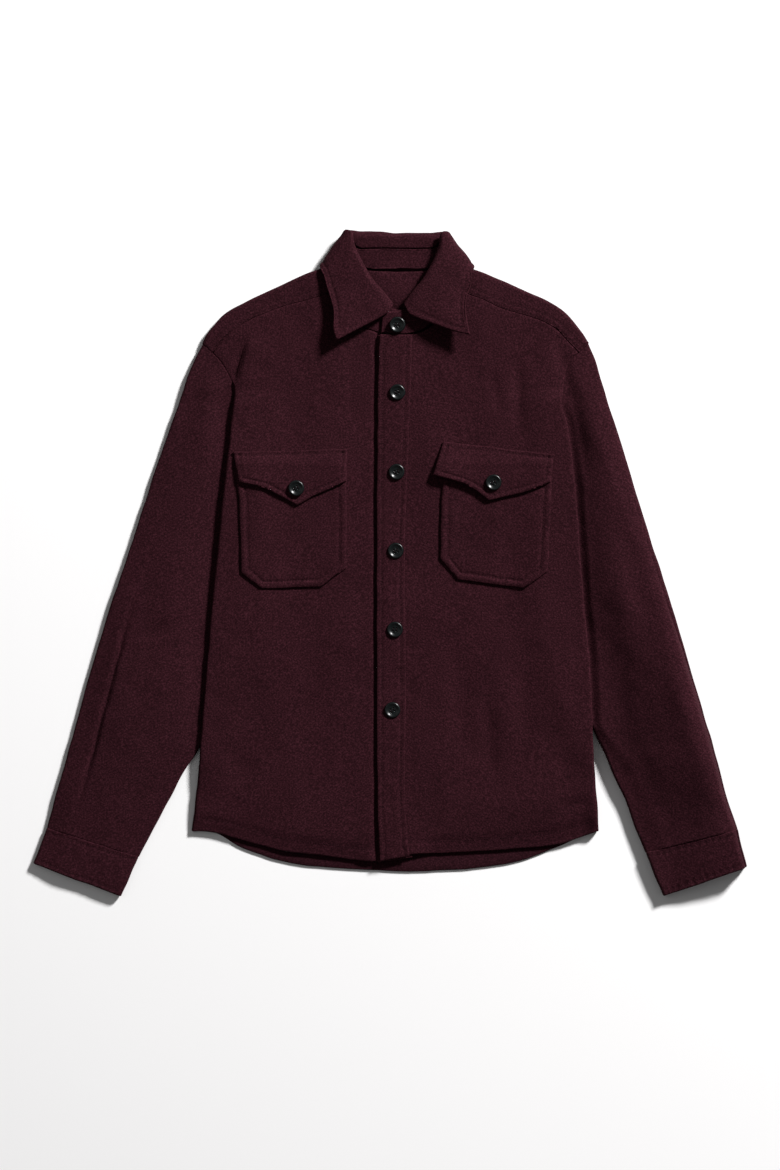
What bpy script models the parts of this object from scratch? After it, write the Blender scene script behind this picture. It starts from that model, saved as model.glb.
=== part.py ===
"""A brushed wool shirt jacket laid flat on its back, built from the pieces that are cut and sewn.

Lengths in the tables are millimetres: X across, Y towards the collar, Z up from the floor.
The wearer's right is at -X and the wearer's left, which buttons over it, is at +X.
Both sides share their code: "out" is the distance outwards from the middle line X = 0.
"""

import math

import bpy
import numpy as np
from mathutils import Vector
from mathutils.bvhtree import BVHTree

MM = 0.001
SEAM = 0.4            # space between two pieces at a seam
RIGHT, LEFT = -1, 1   # the wearer's sides, as the sign of X

# Wall thickness of each kind of piece.
CLOTH = 2.4           # one layer of brushed wool
SLEEVE_CLOTH = 2.0    # the same, in the sleeves, where two layers meet in a tight fold
BAND = 2.0            # front band lying on the left front
PATCH = 2.2           # breast pocket
FLAP = 2.8            # lined pocket flap
STAND = 2.6           # collar stand, two layers pressed
FALL = 3.0            # collar fall, two layers
CUFF = 3.0            # cuff, two layers
ON_PANEL = 0.6        # space between a panel and what lies on it

# Heights of the middle surfaces.
FLOOR_LAYER = CLOTH / 2
SLEEVE_TOP = 4.2      # upper layer of a sleeve where the body lies on it
FRONT = 6.8           # front panels where they lie on the back
SLEEVE_LIFT = 3.4     # rise of a front over the hidden edge of a sleeve
BACK_LIFT = 6.0       # rise of the back over the hidden edge of a sleeve
RETURN_HIGH = 7.2     # turned-under edge of a front, over the sleeve
RETURN_ARM = 3.9      # the same edge at the armhole, beside the sleeve
ARM_SEAM_RISE = 1.2   # rise of the sleeve's upper layer at the shoulder
LIFT_MARGIN = 16.0    # level stretch past the sleeve's hidden edge
FRONT_FADE = 50.0     # then the front comes down over this length
BACK_FADE = 31.0
ARM_GAP = 0.4         # extra space at the armhole's slanted seam
SLEEVE_LOFT = 2.2     # extra height along the middle of a sleeve
UNDERLAP_DIP = 2.8    # drop of the right front under the left one
DIP_OUT, DIP_WIDTH = 45.0, 15.0
NECK_BACK = 3.6       # rise of the back yoke over the collar's fall
NECK_FRONT = 2.4      # rise of the fronts round the neck
CUFF_RADIUS = 1.9
CUFF_LOFT = 0.8       # extra height along the middle of a cuff
SEAM_BEND = 1.5       # share of the fall's thickness left free where the seam bends
FOLD_INSET = 4.0      # a folded layer keeps the height that it has this far from its fold
RETURN_LEAST = 5.5    # least width of a front's turned-under edge, with its fold
LOFT_INNER = 30.0     # a sleeve reaches its loft this far from the body's edge
LOFT_OUTER = 24.0     # and this far from its own outer fold
LOFT_CLEAR = 2.0
SHOULDER_LEVEL = 0.8  # share of the loft's outer slope that the sleeve's head leaves out
CREASE_START, CREASE_END = 60.0, 30.0
COLLAR_BACK_STEPS = (40.0, 20.0)

YOKE_Y = 248.0        # seam between back and back yoke
NECK_X = 7.3          # middle of the neck
NECK_HALF = 97.0      # half the width that the collar raises
NECK_FADE = 37.0
NECK_BACK_Y = 331.0
NECK_BACK_FADE = 39.0
NECK_FRONT_Y = 321.0
NECK_FRONT_FADE = 73.0

# Levels along Y where a front climbs on the sleeve, and leaves it near the hem.
CLIMB_Y, CLIMB_LENGTH = 215.0, 21.0
LEAVE_Y, LEAVE_LENGTH = -230.0, 50.0
BACK_CLIMB_Y, BACK_CLIMB_LENGTH = 77.0, 50.0
ARM_RISE_Y, ARM_RISE_LENGTH = 194.0, 21.0


def table(names, *rows):
    """Columns of a table by name, as arrays."""
    return {name: np.array([row[i] for row in rows], float) for i, name in enumerate(names.split())}


# Where each front folds under, and where the armhole or the side seam runs.
EDGE = {
    RIGHT: table("y fold seam",
                 (256, 216.7, 216.7), (248, 208.5, 208.5), (226, 195.5, 195.5), (215, 190.75, 190.75),
                 (204, 186, 186), (194, 185.7, 185.7), (180, 188, 185.3), (155, 192, 183.6),
                 (125, 196, 181.5), (90, 201.5, 180.75), (50, 207, 179.9), (9, 211, 179),
                 (-33, 215.6, 207.6), (-75, 219.5, 211.5), (-120, 223, 215), (-170, 227, 219),
                 (-226, 231.5, 223.5), (-265, 234.5, 226.5), (-290, 237.5, 229.5), (-327, 242, 234)),
    LEFT: table("y fold seam",
                (256, 229.4, 229.4), (248, 221, 221), (226, 213, 213), (215, 211.5, 211.5),
                (204, 210, 210), (194, 208.75, 208.75), (180, 213, 207), (155, 218, 204.7),
                (125, 222, 202), (90, 226, 201.1), (50, 229, 200.05), (9, 232, 199),
                (-33, 235, 227), (-75, 239, 231), (-120, 243.5, 235.5), (-170, 246, 238),
                (-226, 247.5, 239.5), (-265, 250, 242), (-290, 252.5, 244.5), (-327, 254.5, 246.5)),
}
SHOULDER_TIP = {RIGHT: (229, 268), LEFT: (242, 268)}

# Stations of each sleeve from the armhole to the cuff: outer and inner edge, share of armhole curve.
SLEEVE = {
    RIGHT: table("out_o y_o out_i y_i curve",
                 (229, 268, 179, 9, 1), (240, 246, 179, 2, 0.86), (249, 222, 179, -9, 0.7),
                 (259, 192, 179, -23, 0.52), (272, 155, 179, -41, 0.35), (287, 112, 181, -63, 0.2),
                 (301, 68, 185, -89, 0.1), (315, 24, 190, -116, 0.03), (330, -20, 197, -143, 0),
                 (345, -64, 206, -170, 0), (358, -108, 218, -198, 0), (371, -152, 233, -227, 0),
                 (383, -196, 252, -256, 0), (395, -240, 269, -288, 0), (408, -284, 287, -322, 0),
                 (418, -322, 306, -357, 0)),
    LEFT: table("out_o y_o out_i y_i curve",
                (242, 268, 199, 9, 1), (251, 246, 199, 2, 0.86), (258, 222, 199, -9, 0.7),
                (267, 192, 200, -23, 0.52), (279, 155, 201, -41, 0.35), (292, 112, 204, -63, 0.2),
                (305, 68, 209, -89, 0.1), (319, 24, 216, -116, 0.03), (333, -20, 224, -143, 0),
                (347, -64, 234, -170, 0), (360, -108, 245, -198, 0), (373, -152, 259, -227, 0),
                (386, -196, 271, -256, 0), (399, -240, 286, -288, 0), (410, -284, 298, -321, 0),
                (423, -323, 311, -352, 0)),
}
SLEEVE_INNER = {
    RIGHT: table("y out", (9, 179), (-45, 179), (-106, 188), (-167, 205), (-214, 226), (-240, 244),
                 (-289, 270), (-357, 306)),
    LEFT: table("y out", (9, 199), (-45, 201), (-94, 210), (-155, 229), (-201, 246), (-240, 265),
                (-289, 287), (-352, 311)),
}
# The long crease of each sleeve: a trough on the right one and a low ridge on the left one.
SLEEVE_CREASE = {
    RIGHT: {"start": (315, -60), "end": (381, -305), "height": -1.3, "width": 12.0},
    LEFT: {"start": (320, 10), "end": (406, -312), "height": 0.9, "width": 12.0},
}
CUFF_ENDS = {
    RIGHT: table("out_o y_o out_i y_i", (418.3, -322.6, 306.4, -357.5), (426.5, -345, 317, -382),
                 (435, -366.5, 328, -406.4)),
    LEFT: table("out_o y_o out_i y_i", (423.3, -323.6, 311.5, -352.6), (429, -346.5, 322, -380),
                (435, -370, 333, -406.4)),
}

# Shoulder line, front yoke seam and neck seam, from the armhole to the middle.
SHOULDER = {
    RIGHT: table("out y", (229, 268), (221, 282), (201, 304), (177, 318), (145, 333), (112, 348),
                 (95, 355), (75, 362)),
    LEFT: table("out y", (242, 268), (233, 282), (214, 304), (194, 318), (162, 333), (127, 348),
                (110, 355), (90, 362)),
}
YOKE_SEAM = {
    RIGHT: table("out y", (216.7, 256), (193, 281), (162, 300), (124, 314), (88, 324), (75, 328)),
    LEFT: table("out y", (229.4, 256), (215, 271), (199, 287), (176, 298), (138, 309), (105, 324),
                (90, 329)),
}
NECK_SEAM = {
    RIGHT: table("out y", (75, 328), (61, 314), (46, 298), (33, 287), (24, 282.5), (-3, 279), (-27, 278)),
    LEFT: table("out y", (90, 329), (76, 314), (61, 298), (44, 284), (27, 279), (7, 278), (-15, 277)),
}
NECK_BACK_SEAM = table("x y", (-75, 356), (-34, 356.3), (7, 354.5), (49, 356.3), (90, 356))
HEM_FRONT = {
    RIGHT: table("out y", (-27, -359), (15, -364), (81, -357), (127, -351), (183, -337), (215, -328.5),
                 (242, -327)),
    LEFT: table("out y", (-15, -365), (27, -355), (81, -353), (143, -349), (198, -344), (227, -336),
                (254.5, -327)),
}
HEM_BACK = table("x y", (-242, -327), (-215, -329), (-183, -346), (-127, -365), (-81, -371), (-15, -375),
                 (27, -376), (81, -374), (143, -367), (198, -349), (227, -336), (254.5, -327))
CENTRE_EDGE = {RIGHT: -27.0, LEFT: -15.0}
BAND_EDGES = table("y left right", (277, -13, 27), (205, -15, 25), (49, -16.3, 19), (-27, -16.3, 18),
                   (-151, -16.3, 19.5), (-274, -15.5, 18), (-337, -14, 21.5), (-356, -12.8, 23.5))
BAND_END = table("x y", (-14, -363.5), (24, -356.5))
BUTTON_RADIUS = 9.75
BUTTON_SPACE = 0.3
HOLE_RADIUS = 0.95
HOLE_OUT = 2.7        # distance of each hole from the button's middle
BUTTON_PLACES = table("x y", (9, 290), (9, 208), (8, 111), (7, 15), (6, -81), (3, -179))

# Breast pockets by rows from the top, flaps by columns from the outer edge.
POCKET = {
    RIGHT: table("out_o y_o out_i y_i", (189, 118, 54, 118), (186, 98, 53.5, 98), (184, 77, 53, 77),
                 (183, 48, 53, 48), (182, 18, 53, 20), (181, -12, 53, -6), (158, -31, 84, -29)),
    LEFT: table("out_o y_o out_i y_i", (197, 118, 65, 118), (197, 98, 64, 98), (196, 77, 62.5, 77),
                (195, 48, 62, 50), (193.5, 18, 61.5, 28), (192, -10, 61, 6), (163, -31, 82, -20)),
}
POCKET_FLAP = {
    RIGHT: table("out_t y_t out_b y_b lift",
                 (191, 135, 184, 98, 5.0), (174, 135.5, 168, 94.5, 2.0), (156, 136, 151, 90, 0.5),
                 (140, 136.5, 134, 81.5, 0), (122, 137, 113, 70, 0), (104, 137.5, 95, 81, 0),
                 (86, 138, 80, 87, 0), (69, 138.5, 66, 92.5, 0.3), (52, 139, 53, 100, 1.0)),
    LEFT: table("out_t y_t out_b y_b lift",
                (200, 132, 196, 98, 0.5), (184, 134, 178, 91, 0.2), (167, 136, 159, 84.5, 0),
                (150, 138, 139, 80, 0), (132, 140, 120, 76, 0), (115, 142, 105, 88, 0.3),
                (98, 144, 90, 96, 1.5), (81, 146, 69, 102, 4.0), (65, 148, 52, 107, 7.0)),
}
FLAP_BUTTON = {RIGHT: (114, 91), LEFT: (126, 98)}

# Collar by stations from the middle of the front: neck seam, stand's top, roll line and free edge.
COLLAR = {
    RIGHT: table("nx ny nz mx my mz rx ry rz fx fy fz",
                 (2, 280.2, 5.8, -1, 311.6, 8.0, -4, 314, 15.5, 67, 268, 23),
                 (24, 284.5, 7.6, 16, 325, 10.6, 10, 331, 18.0, 67, 289, 21),
                 (40, 296, 9.0, 31, 344, 12.2, 26, 350, 18.8, 70, 310, 19),
                 (55, 312, 9.4, 42, 365, 12.6, 37, 371, 18.4, 75, 331, 17.4),
                 (65, 326, 9.4, 48, 380, 12.6, 44, 386, 17.4, 80, 349, 16.2)),
    LEFT: table("nx ny nz mx my mz rx ry rz fx fy fz",
                (15, 279.6, 9.6, 16, 309, 11.8, 17, 314.5, 17.0, 100, 267, 24),
                (37, 285, 9.4, 34, 325, 12.2, 29, 330, 18.4, 95, 292, 21.5),
                (56, 298.6, 9.4, 48, 344, 12.6, 43, 349, 18.8, 94, 315, 19.2),
                (70, 312.8, 9.4, 59, 364, 12.8, 54, 369, 18.4, 97, 336, 17.6),
                (80, 326, 9.4, 64, 378, 11.6, 60.5, 386, 17.6, 100, 351, 16.4)),
}
STAND_END = {RIGHT: (-20, 280.5, 5.2, -17, 308, 6.6), LEFT: (-12, 279.6, 9.7, -9, 305.5, 11.4)}
# Side fold of the collar by rows of the surface: place, heights above and below, back height.
FOLD_ROWS = {
    RIGHT: table("x y top low y_back z_back",
                 (73.0, 360.6, 9.3, 5.3, 358.3, 5.3), (49.5, 391, 12.2, 6.4, 386, 7.4),
                 (52.5, 400, 15.2, 7.2, 397, 8.5), (55, 406, 16.6, 4.8, 404.2, 5.0),
                 (57.5, 403, 16.4, 1.5, 398.5, 1.5), (66, 391, 16.0, 1.5, 381, 1.5),
                 (75, 378.5, 15.8, 1.5, 359, 1.5), (85, 365, 15.6, 1.5, 337, 1.5)),
    LEFT: table("x y top low y_back z_back",
                (88.0, 360.6, 9.3, 5.3, 358.3, 5.3), (65, 391, 11.6, 6.4, 386, 7.4),
                (67.5, 399, 15.2, 7.2, 397, 8.5), (70, 404, 16.6, 4.8, 404.2, 5.0),
                (73, 401, 16.4, 1.5, 398.5, 1.5), (82, 389.5, 16.0, 1.5, 381, 1.5),
                (91.5, 377.5, 15.8, 1.5, 359, 1.5), (102, 364, 15.6, 1.5, 337, 1.5)),
}
FOLD_INWARD = {RIGHT: (-0.8, -0.6), LEFT: (-0.79, -0.62)}
# Rows of the leaf between roll line and free edge: share of the way, drop below the roll's top.
LEAF_ROWS = table("share drop", (0.0, 3.2), (0.07, 0.0), (0.17, 0.0), (0.42, 0.0), (0.7, 0.0), (1.0, 0.0))

# The folded arcs and the columns of the grids.
ARC = np.linspace(0.0, math.pi, 5)
SHOULDER_STEPS = np.array([0, 0.05, 0.1, 0.16, 0.22, 0.29, 0.37, 0.47, 0.6, 0.73, 0.87, 1.0])
BACK_STEPS = np.array([0, 0.018, 0.037, 0.06, 0.088, 0.12, 0.165, 0.24, 0.33, 0.42, 0.5])
BACK_ROWS_Y = np.array([247.8, 226, 204, 180, 125, 80, 50, 28, 9, -33, -75, -120, -170, -226, -265, -290, -327])
ARM_TOP_Y = np.array([268, 248, 226, 215, 204, 194, 180, 155, 125, 90, 50, 9], float)
ARM_LOW_Y = np.array([248, 226, 204, 180, 125, 50], float)

FINISHES = {
    "wool": ((0.031, 0.008, 0.012), 0.92),
    "wool_inside": ((0.026, 0.007, 0.011), 0.94),
    "button": ((0.010, 0.013, 0.013), 0.18),
}


def smooth_step(t):
    """0 below 0, 1 above 1 and 3t^2 - 2t^3 between them."""
    t = np.clip(t, 0.0, 1.0)
    return t * t * (3.0 - 2.0 * t)


def value_at(rows, key, name, at):
    """Value of one column where another has the given value, in straight steps."""
    order = np.argsort(rows[key])
    return np.interp(at, rows[key][order], rows[name][order])


def along(points, shares):
    """Points at shares of the length of a line of points."""
    points = np.asarray(points, float)
    steps = np.linalg.norm(np.diff(points, axis=0), axis=1)
    run = np.concatenate([[0.0], np.cumsum(steps)]) / steps.sum()
    return np.stack([np.interp(shares, run, points[:, i]) for i in range(points.shape[1])], axis=-1)


def plan(rows, x="out", y="y"):
    """Two columns of a table as plan points."""
    return np.stack([rows[x], rows[y]], axis=-1)


def inward_normals(path):
    """Unit normals of a plan path, pointing to the middle of the garment."""
    tangents = np.gradient(path, axis=0)
    normals = np.stack([tangents[:, 1], -tangents[:, 0]], axis=-1)
    normals /= np.linalg.norm(normals, axis=1, keepdims=True)
    return np.where(normals[:, :1] > 0, -normals, normals)


def arm_out(side, y):
    """Outward place of the armhole seam."""
    ys = np.concatenate([[SHOULDER_TIP[side][1]], EDGE[side]["y"]])
    outs = np.concatenate([[SHOULDER_TIP[side][0]], EDGE[side]["seam"]])
    return np.interp(y, ys[::-1], outs[::-1])


def hidden_line(side, y):
    """Outward place of the armhole, and below it of the sleeve's inner edge."""
    inner = value_at(SLEEVE_INNER[side], "y", "out", y)
    return np.where(y >= SLEEVE_INNER[side]["y"][0], arm_out(side, y), inner)


def neck_rise(x, y, start_y, fade_y):
    """1 where the collar raises the cloth round the neck, fading to 0."""
    across = 1.0 - smooth_step((np.abs(x - NECK_X) - NECK_HALF) / NECK_FADE)
    return across * (1.0 - smooth_step((start_y - y) / fade_y))


def leaving(y):
    """0 along the sleeve and 1 near the hem, where the body reaches the floor."""
    return smooth_step((LEAVE_Y - y) / LEAVE_LENGTH)


def front_height(side, out, y):
    """Middle surface of a front panel."""
    inwards = hidden_line(side, y) - out
    climb = smooth_step((CLIMB_Y - y) / CLIMB_LENGTH) * (1.0 - leaving(y))
    lift = SLEEVE_LIFT * climb * (1.0 - smooth_step((inwards - LIFT_MARGIN) / FRONT_FADE))
    dip = UNDERLAP_DIP * smooth_step((DIP_OUT - out) / DIP_WIDTH) if side == RIGHT else 0.0
    return FRONT + lift + NECK_FRONT * neck_rise(side * out, y, NECK_FRONT_Y, NECK_FRONT_FADE) - dip


def back_height(x, y):
    """Middle surface of the back and of the yoke's lower layer."""
    height = np.full(np.broadcast(x, y).shape, FLOOR_LAYER)
    climb = smooth_step((BACK_CLIMB_Y - y) / BACK_CLIMB_LENGTH) * (1.0 - leaving(y))
    for side in (RIGHT, LEFT):
        inwards = hidden_line(side, y) - side * x
        height = height + BACK_LIFT * climb * (1.0 - smooth_step((inwards - LIFT_MARGIN) / BACK_FADE))
    return height + NECK_BACK * neck_rise(x, y, NECK_BACK_Y, NECK_BACK_FADE)


def return_height(y):
    """Middle surface of a front's turned-under edge."""
    climb = smooth_step((CLIMB_Y - y) / CLIMB_LENGTH)
    return RETURN_ARM + (RETURN_HIGH - RETURN_ARM) * climb - BACK_LIFT * leaving(y)


def sleeve_height(side, out, y, outer_distance):
    """Middle surface of a sleeve's upper layer, raised in the middle and creased."""
    fold = value_at(EDGE[side], "y", "fold", y)
    clear = out - np.maximum(fold, hidden_line(side, y))
    loft = SLEEVE_LOFT * smooth_step((clear - LOFT_CLEAR) / LOFT_INNER) * smooth_step(outer_distance / LOFT_OUTER)
    crease = SLEEVE_CREASE[side]
    start, end = np.array(crease["start"], float), np.array(crease["end"], float)
    length = np.linalg.norm(end - start)
    axis = (end - start) / length
    run = (out - start[0]) * axis[0] + (y - start[1]) * axis[1]
    across = (out - start[0]) * axis[1] - (y - start[1]) * axis[0]
    fade = smooth_step(run / CREASE_START) * smooth_step((length - run) / CREASE_END)
    line = crease["height"] * np.exp(-((across / crease["width"]) ** 2)) * fade
    return SLEEVE_TOP + ARM_SEAM_RISE * smooth_step((y - ARM_RISE_Y) / ARM_RISE_LENGTH) + loft + line


def make_material(name):
    """Principled material with a finish's colour and roughness."""
    colour, roughness = FINISHES[name]
    material = bpy.data.materials.new(name)
    material.use_nodes = True
    shader = material.node_tree.nodes["Principled BSDF"]
    shader.inputs["Base Color"].default_value = (*colour, 1.0)
    shader.inputs["Roughness"].default_value = roughness
    return material


def grid_faces(rows, columns, present, closed):
    """Quads of a grid as corner indices, without the cells that are absent."""
    faces = []
    for r in range(rows - 1):
        for c in range(columns if closed else columns - 1):
            if present is None or present[r, c]:
                after = (c + 1) % columns
                faces.append((r * columns + c, r * columns + after,
                              (r + 1) * columns + after, (r + 1) * columns + c))
    return faces


def vertex_normals(points, faces):
    """Normals at the points of a surface, weighted by the area of the faces."""
    corners = points[np.array(faces)]
    crosses = np.cross(corners[:, 2] - corners[:, 0], corners[:, 3] - corners[:, 1])
    normals = np.zeros_like(points)
    for corner in range(4):
        np.add.at(normals, np.array(faces)[:, corner], crosses)
    lengths = np.linalg.norm(normals, axis=1, keepdims=True)
    return normals / np.where(lengths > 0, lengths, 1.0)


def make_object(name, points, faces, finish):
    """Mesh object from points in millimetres, with its faces turned outwards."""
    triangles = np.array([(f[0], f[i], f[i + 1]) for f in faces for i in range(1, len(f) - 1)])
    a, b, c = (points[triangles[:, i]] for i in range(3))
    if np.einsum("ij,ij->i", a, np.cross(b, c)).sum() < 0:
        faces = [tuple(reversed(face)) for face in faces]
    mesh = bpy.data.meshes.new(name)
    mesh.from_pydata([tuple(p) for p in points * MM], [], faces)
    mesh.shade_smooth()
    mesh.set_sharp_from_angle(angle=math.radians(50))
    mesh.materials.append(finish)
    obj = bpy.data.objects.new(name, mesh)
    bpy.context.scene.collection.objects.link(obj)
    return obj


def make_wall(name, middle, thickness, finish, present=None, closed=False):
    """Cloth wall: a grid's middle surface moved out and in, joined round its edges."""
    rows, columns = middle.shape[:2]
    faces = grid_faces(rows, columns, present, closed)
    used = sorted({index for face in faces for index in face})
    place = {index: i for i, index in enumerate(used)}
    faces = [tuple(place[index] for index in face) for face in faces]
    points = middle.reshape(-1, 3)[used]
    offset = vertex_normals(points, faces) * thickness / 2
    count = len(points)
    edges = {(face[i], face[(i + 1) % 4]) for face in faces for i in range(4)}
    rim = [(b, a, a + count, b + count) for a, b in sorted(edges) if (b, a) not in edges]
    inner = [tuple(index + count for index in reversed(face)) for face in faces]
    return make_object(name, np.concatenate([points + offset, points - offset]),
                       faces + inner + rim, finish)


def patch(left, right, top, bottom):
    """Plan grid between four border lines that share their corners."""
    rows, columns = len(left), len(top)
    t = np.concatenate([[0.0], np.cumsum(np.linalg.norm(np.diff(left, axis=0), axis=1))])
    t = (t / t[-1])[:, None, None]
    s = np.concatenate([[0.0], np.cumsum(np.abs(np.diff(top[:, 0])))])
    s = (s / s[-1])[None, :, None]
    corners = ((1 - s) * (1 - t) * top[0] + s * (1 - t) * top[-1]
               + (1 - s) * t * bottom[0] + s * t * bottom[-1])
    grid = (1 - s) * left[:, None] + s * right[:, None] + (1 - t) * top[None] + t * bottom[None] - corners
    assert grid.shape == (rows, columns, 2)
    return grid


def fold_arc(edge, inward, top, low, thickness):
    """Half round from an upper layer to a lower one, its outside on the edge."""
    radius = (top - low) / 2
    centre = edge + inward * (radius + thickness / 2)[:, None]
    angle = ARC[None, :, None]
    place = centre[:, None] - inward[:, None] * radius[:, None, None] * np.sin(angle)
    height = ((top + low) / 2)[:, None] + radius[:, None] * np.cos(ARC)[None]
    return np.concatenate([place, height[..., None]], axis=2)


def front_grid(side):
    """Middle surface of a front: turned-under edge, fold, then the panel to the front edge."""
    rows = EDGE[side]
    fold = plan(rows, "fold")
    fold[0] += (fold[1] - fold[0]) * SEAM / 6
    inward = inward_normals(fold)
    low = return_height(rows["y"])
    top = front_height(side, rows["fold"] - FOLD_INSET, rows["y"])
    arc = fold_arc(fold, inward, top, low, CLOTH)
    end_out = np.minimum(rows["seam"] + SEAM / 2, rows["fold"] - RETURN_LEAST)
    end = np.stack([end_out, rows["y"], low], axis=-1)
    end[0, :2] = fold[0] + inward[0] * RETURN_LEAST
    seam_line = along(plan(YOKE_SEAM[side]), SHOULDER_STEPS)
    top_line = np.concatenate([seam_line, plan(NECK_SEAM[side])[1:]])
    top_line[:, 1] -= SEAM
    top_line[0] = arc[0, 0, :2]
    shares = (top_line[:, 0] - top_line[0, 0]) / (top_line[-1, 0] - top_line[0, 0])
    hem_out = arc[-1, 0, 0] + shares * (CENTRE_EDGE[side] - arc[-1, 0, 0])
    hem = np.stack([hem_out, value_at(HEM_FRONT[side], "out", "y", hem_out)], axis=-1)
    hem[0] = arc[-1, 0, :2]
    run = (fold[0, 1] - fold[:, 1]) / (fold[0, 1] - fold[-1, 1])
    middle = np.stack([np.full(len(run), CENTRE_EDGE[side]),
                       top_line[-1, 1] + run * (hem[-1, 1] - top_line[-1, 1])], axis=-1)
    panel = patch(arc[:, 0, :2], middle, top_line, hem)
    height = front_height(side, panel[..., 0], panel[..., 1])
    height[:, 0] = arc[:, 0, 2]
    panel = np.concatenate([panel, height[..., None]], axis=2)
    grid = np.concatenate([end[:, None], arc[:, ::-1], panel[:, 1:]], axis=1)
    grid[..., 0] *= side
    return grid


def back_grid():
    """Middle surface of the back below the yoke."""
    edges = {}
    for side in (RIGHT, LEFT):
        out = np.where(BACK_ROWS_Y >= 9, arm_out(side, BACK_ROWS_Y),
                       value_at(EDGE[side], "y", "seam", BACK_ROWS_Y))
        edges[side] = np.stack([side * (out - SEAM / 2), BACK_ROWS_Y], axis=-1)
    shares = np.concatenate([BACK_STEPS, 1.0 - BACK_STEPS[-2::-1]])
    left, right = edges[RIGHT], edges[LEFT]
    top = left[0] + shares[:, None] * (right[0] - left[0])
    hem_x = left[-1, 0] + shares * (right[-1, 0] - left[-1, 0])
    hem = np.stack([hem_x, value_at(HEM_BACK, "x", "y", hem_x)], axis=-1)
    left[-1], right[-1] = hem[0], hem[-1]
    grid = patch(left, right, top, hem)
    return np.concatenate([grid, back_height(grid[..., 0], grid[..., 1])[..., None]], axis=2)


def yoke_columns(side):
    """Columns of the yoke over one shoulder, from the armhole to the neck."""
    fold = along(plan(SHOULDER[side]), SHOULDER_STEPS)
    front = along(plan(YOKE_SEAM[side]), SHOULDER_STEPS)
    front[:, 1] += SEAM / 2
    back_out = arm_out(side, YOKE_Y) + SHOULDER_STEPS * (SHOULDER[side]["out"][-1] - arm_out(side, YOKE_Y))
    back = np.stack([back_out, np.full(len(back_out), YOKE_Y + SEAM / 2)], axis=-1)
    inward = inward_normals(fold)
    inward[0] = (front[0] - fold[0]) / np.linalg.norm(front[0] - fold[0])
    for line in (fold, front, back):
        line[0, 0] -= SEAM / 2 + ARM_GAP
    top = front_height(side, fold[:, 0], fold[:, 1] - FOLD_INSET)
    low = back_height(side * fold[:, 0], fold[:, 1] - FOLD_INSET)
    arc = fold_arc(fold, inward, top, low, CLOTH)[:, ::-1]
    lower = along_pairs(back, arc[:, 0, :2], np.array([0, 0.3, 0.55, 0.8]))
    upper = along_pairs(arc[:, -1, :2], front, np.array([0.5, 1.0]))
    lower = np.concatenate([lower, back_height(side * lower[..., 0], lower[..., 1])[..., None]], axis=2)
    upper = np.concatenate([upper, front_height(side, upper[..., 0], upper[..., 1])[..., None]], axis=2)
    columns = np.concatenate([lower, arc, upper], axis=1)
    columns[..., 0] *= side
    return columns


def along_pairs(start, end, shares):
    """Points between matching points of two lines."""
    return start[:, None] + shares[None, :, None] * (end - start)[:, None]


def yoke_grid():
    """Middle surface of the back yoke and its two straps over the shoulders, with its cells."""
    right, left = yoke_columns(RIGHT), yoke_columns(LEFT)[::-1]
    lower_rows = 5
    across = np.linspace(right[-1, 0, 0], left[0, 0, 0], 10)[1:-1]
    neck = value_at(NECK_BACK_SEAM, "x", "y", across)
    start = np.stack([across, np.full(len(across), YOKE_Y + SEAM / 2)], axis=-1)
    end = np.stack([across, neck], axis=-1)
    plan_points = along_pairs(start, end, np.array([0, 0.3, 0.55, 0.8, 1.0]))
    heights = back_height(plan_points[..., 0], plan_points[..., 1])
    middle = np.zeros((len(across), right.shape[1], 3))
    middle[:, :lower_rows] = np.concatenate([plan_points, heights[..., None]], axis=2)
    grid = np.concatenate([right, middle, left]).transpose(1, 0, 2)
    present = np.ones((grid.shape[0] - 1, grid.shape[1] - 1), bool)
    present[lower_rows - 1:, len(right) - 1:len(right) + len(across)] = False
    return grid, present


def tube_ways(rows):
    """Ways from the outer and from the inner edge of a tube to its middle, square to each edge."""
    outer = inward_normals(plan(rows, "out_o", "y_o"))
    inner = -inward_normals(plan(rows, "out_i", "y_i"))
    return np.stack([outer, inner], axis=1)


def flat_ring(places, ways, top, low, low_places, thickness):
    """Closed section of a flattened tube: upper layer, fold, lower layer, fold."""
    arcs = []
    for edge, way, height in zip(places[[0, -1]], ways, top[[0, -1]]):
        arcs.append(fold_arc(edge[None], way[None], np.array([height]), np.array([low]), thickness)[0])
    upper = np.concatenate([places[1:-1], top[1:-1, None]], axis=1)
    under = np.concatenate([low_places, np.full((len(low_places), 1), low)], axis=1)
    return np.concatenate([arcs[0][::-1], upper, arcs[1], under[::-1]])


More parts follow.
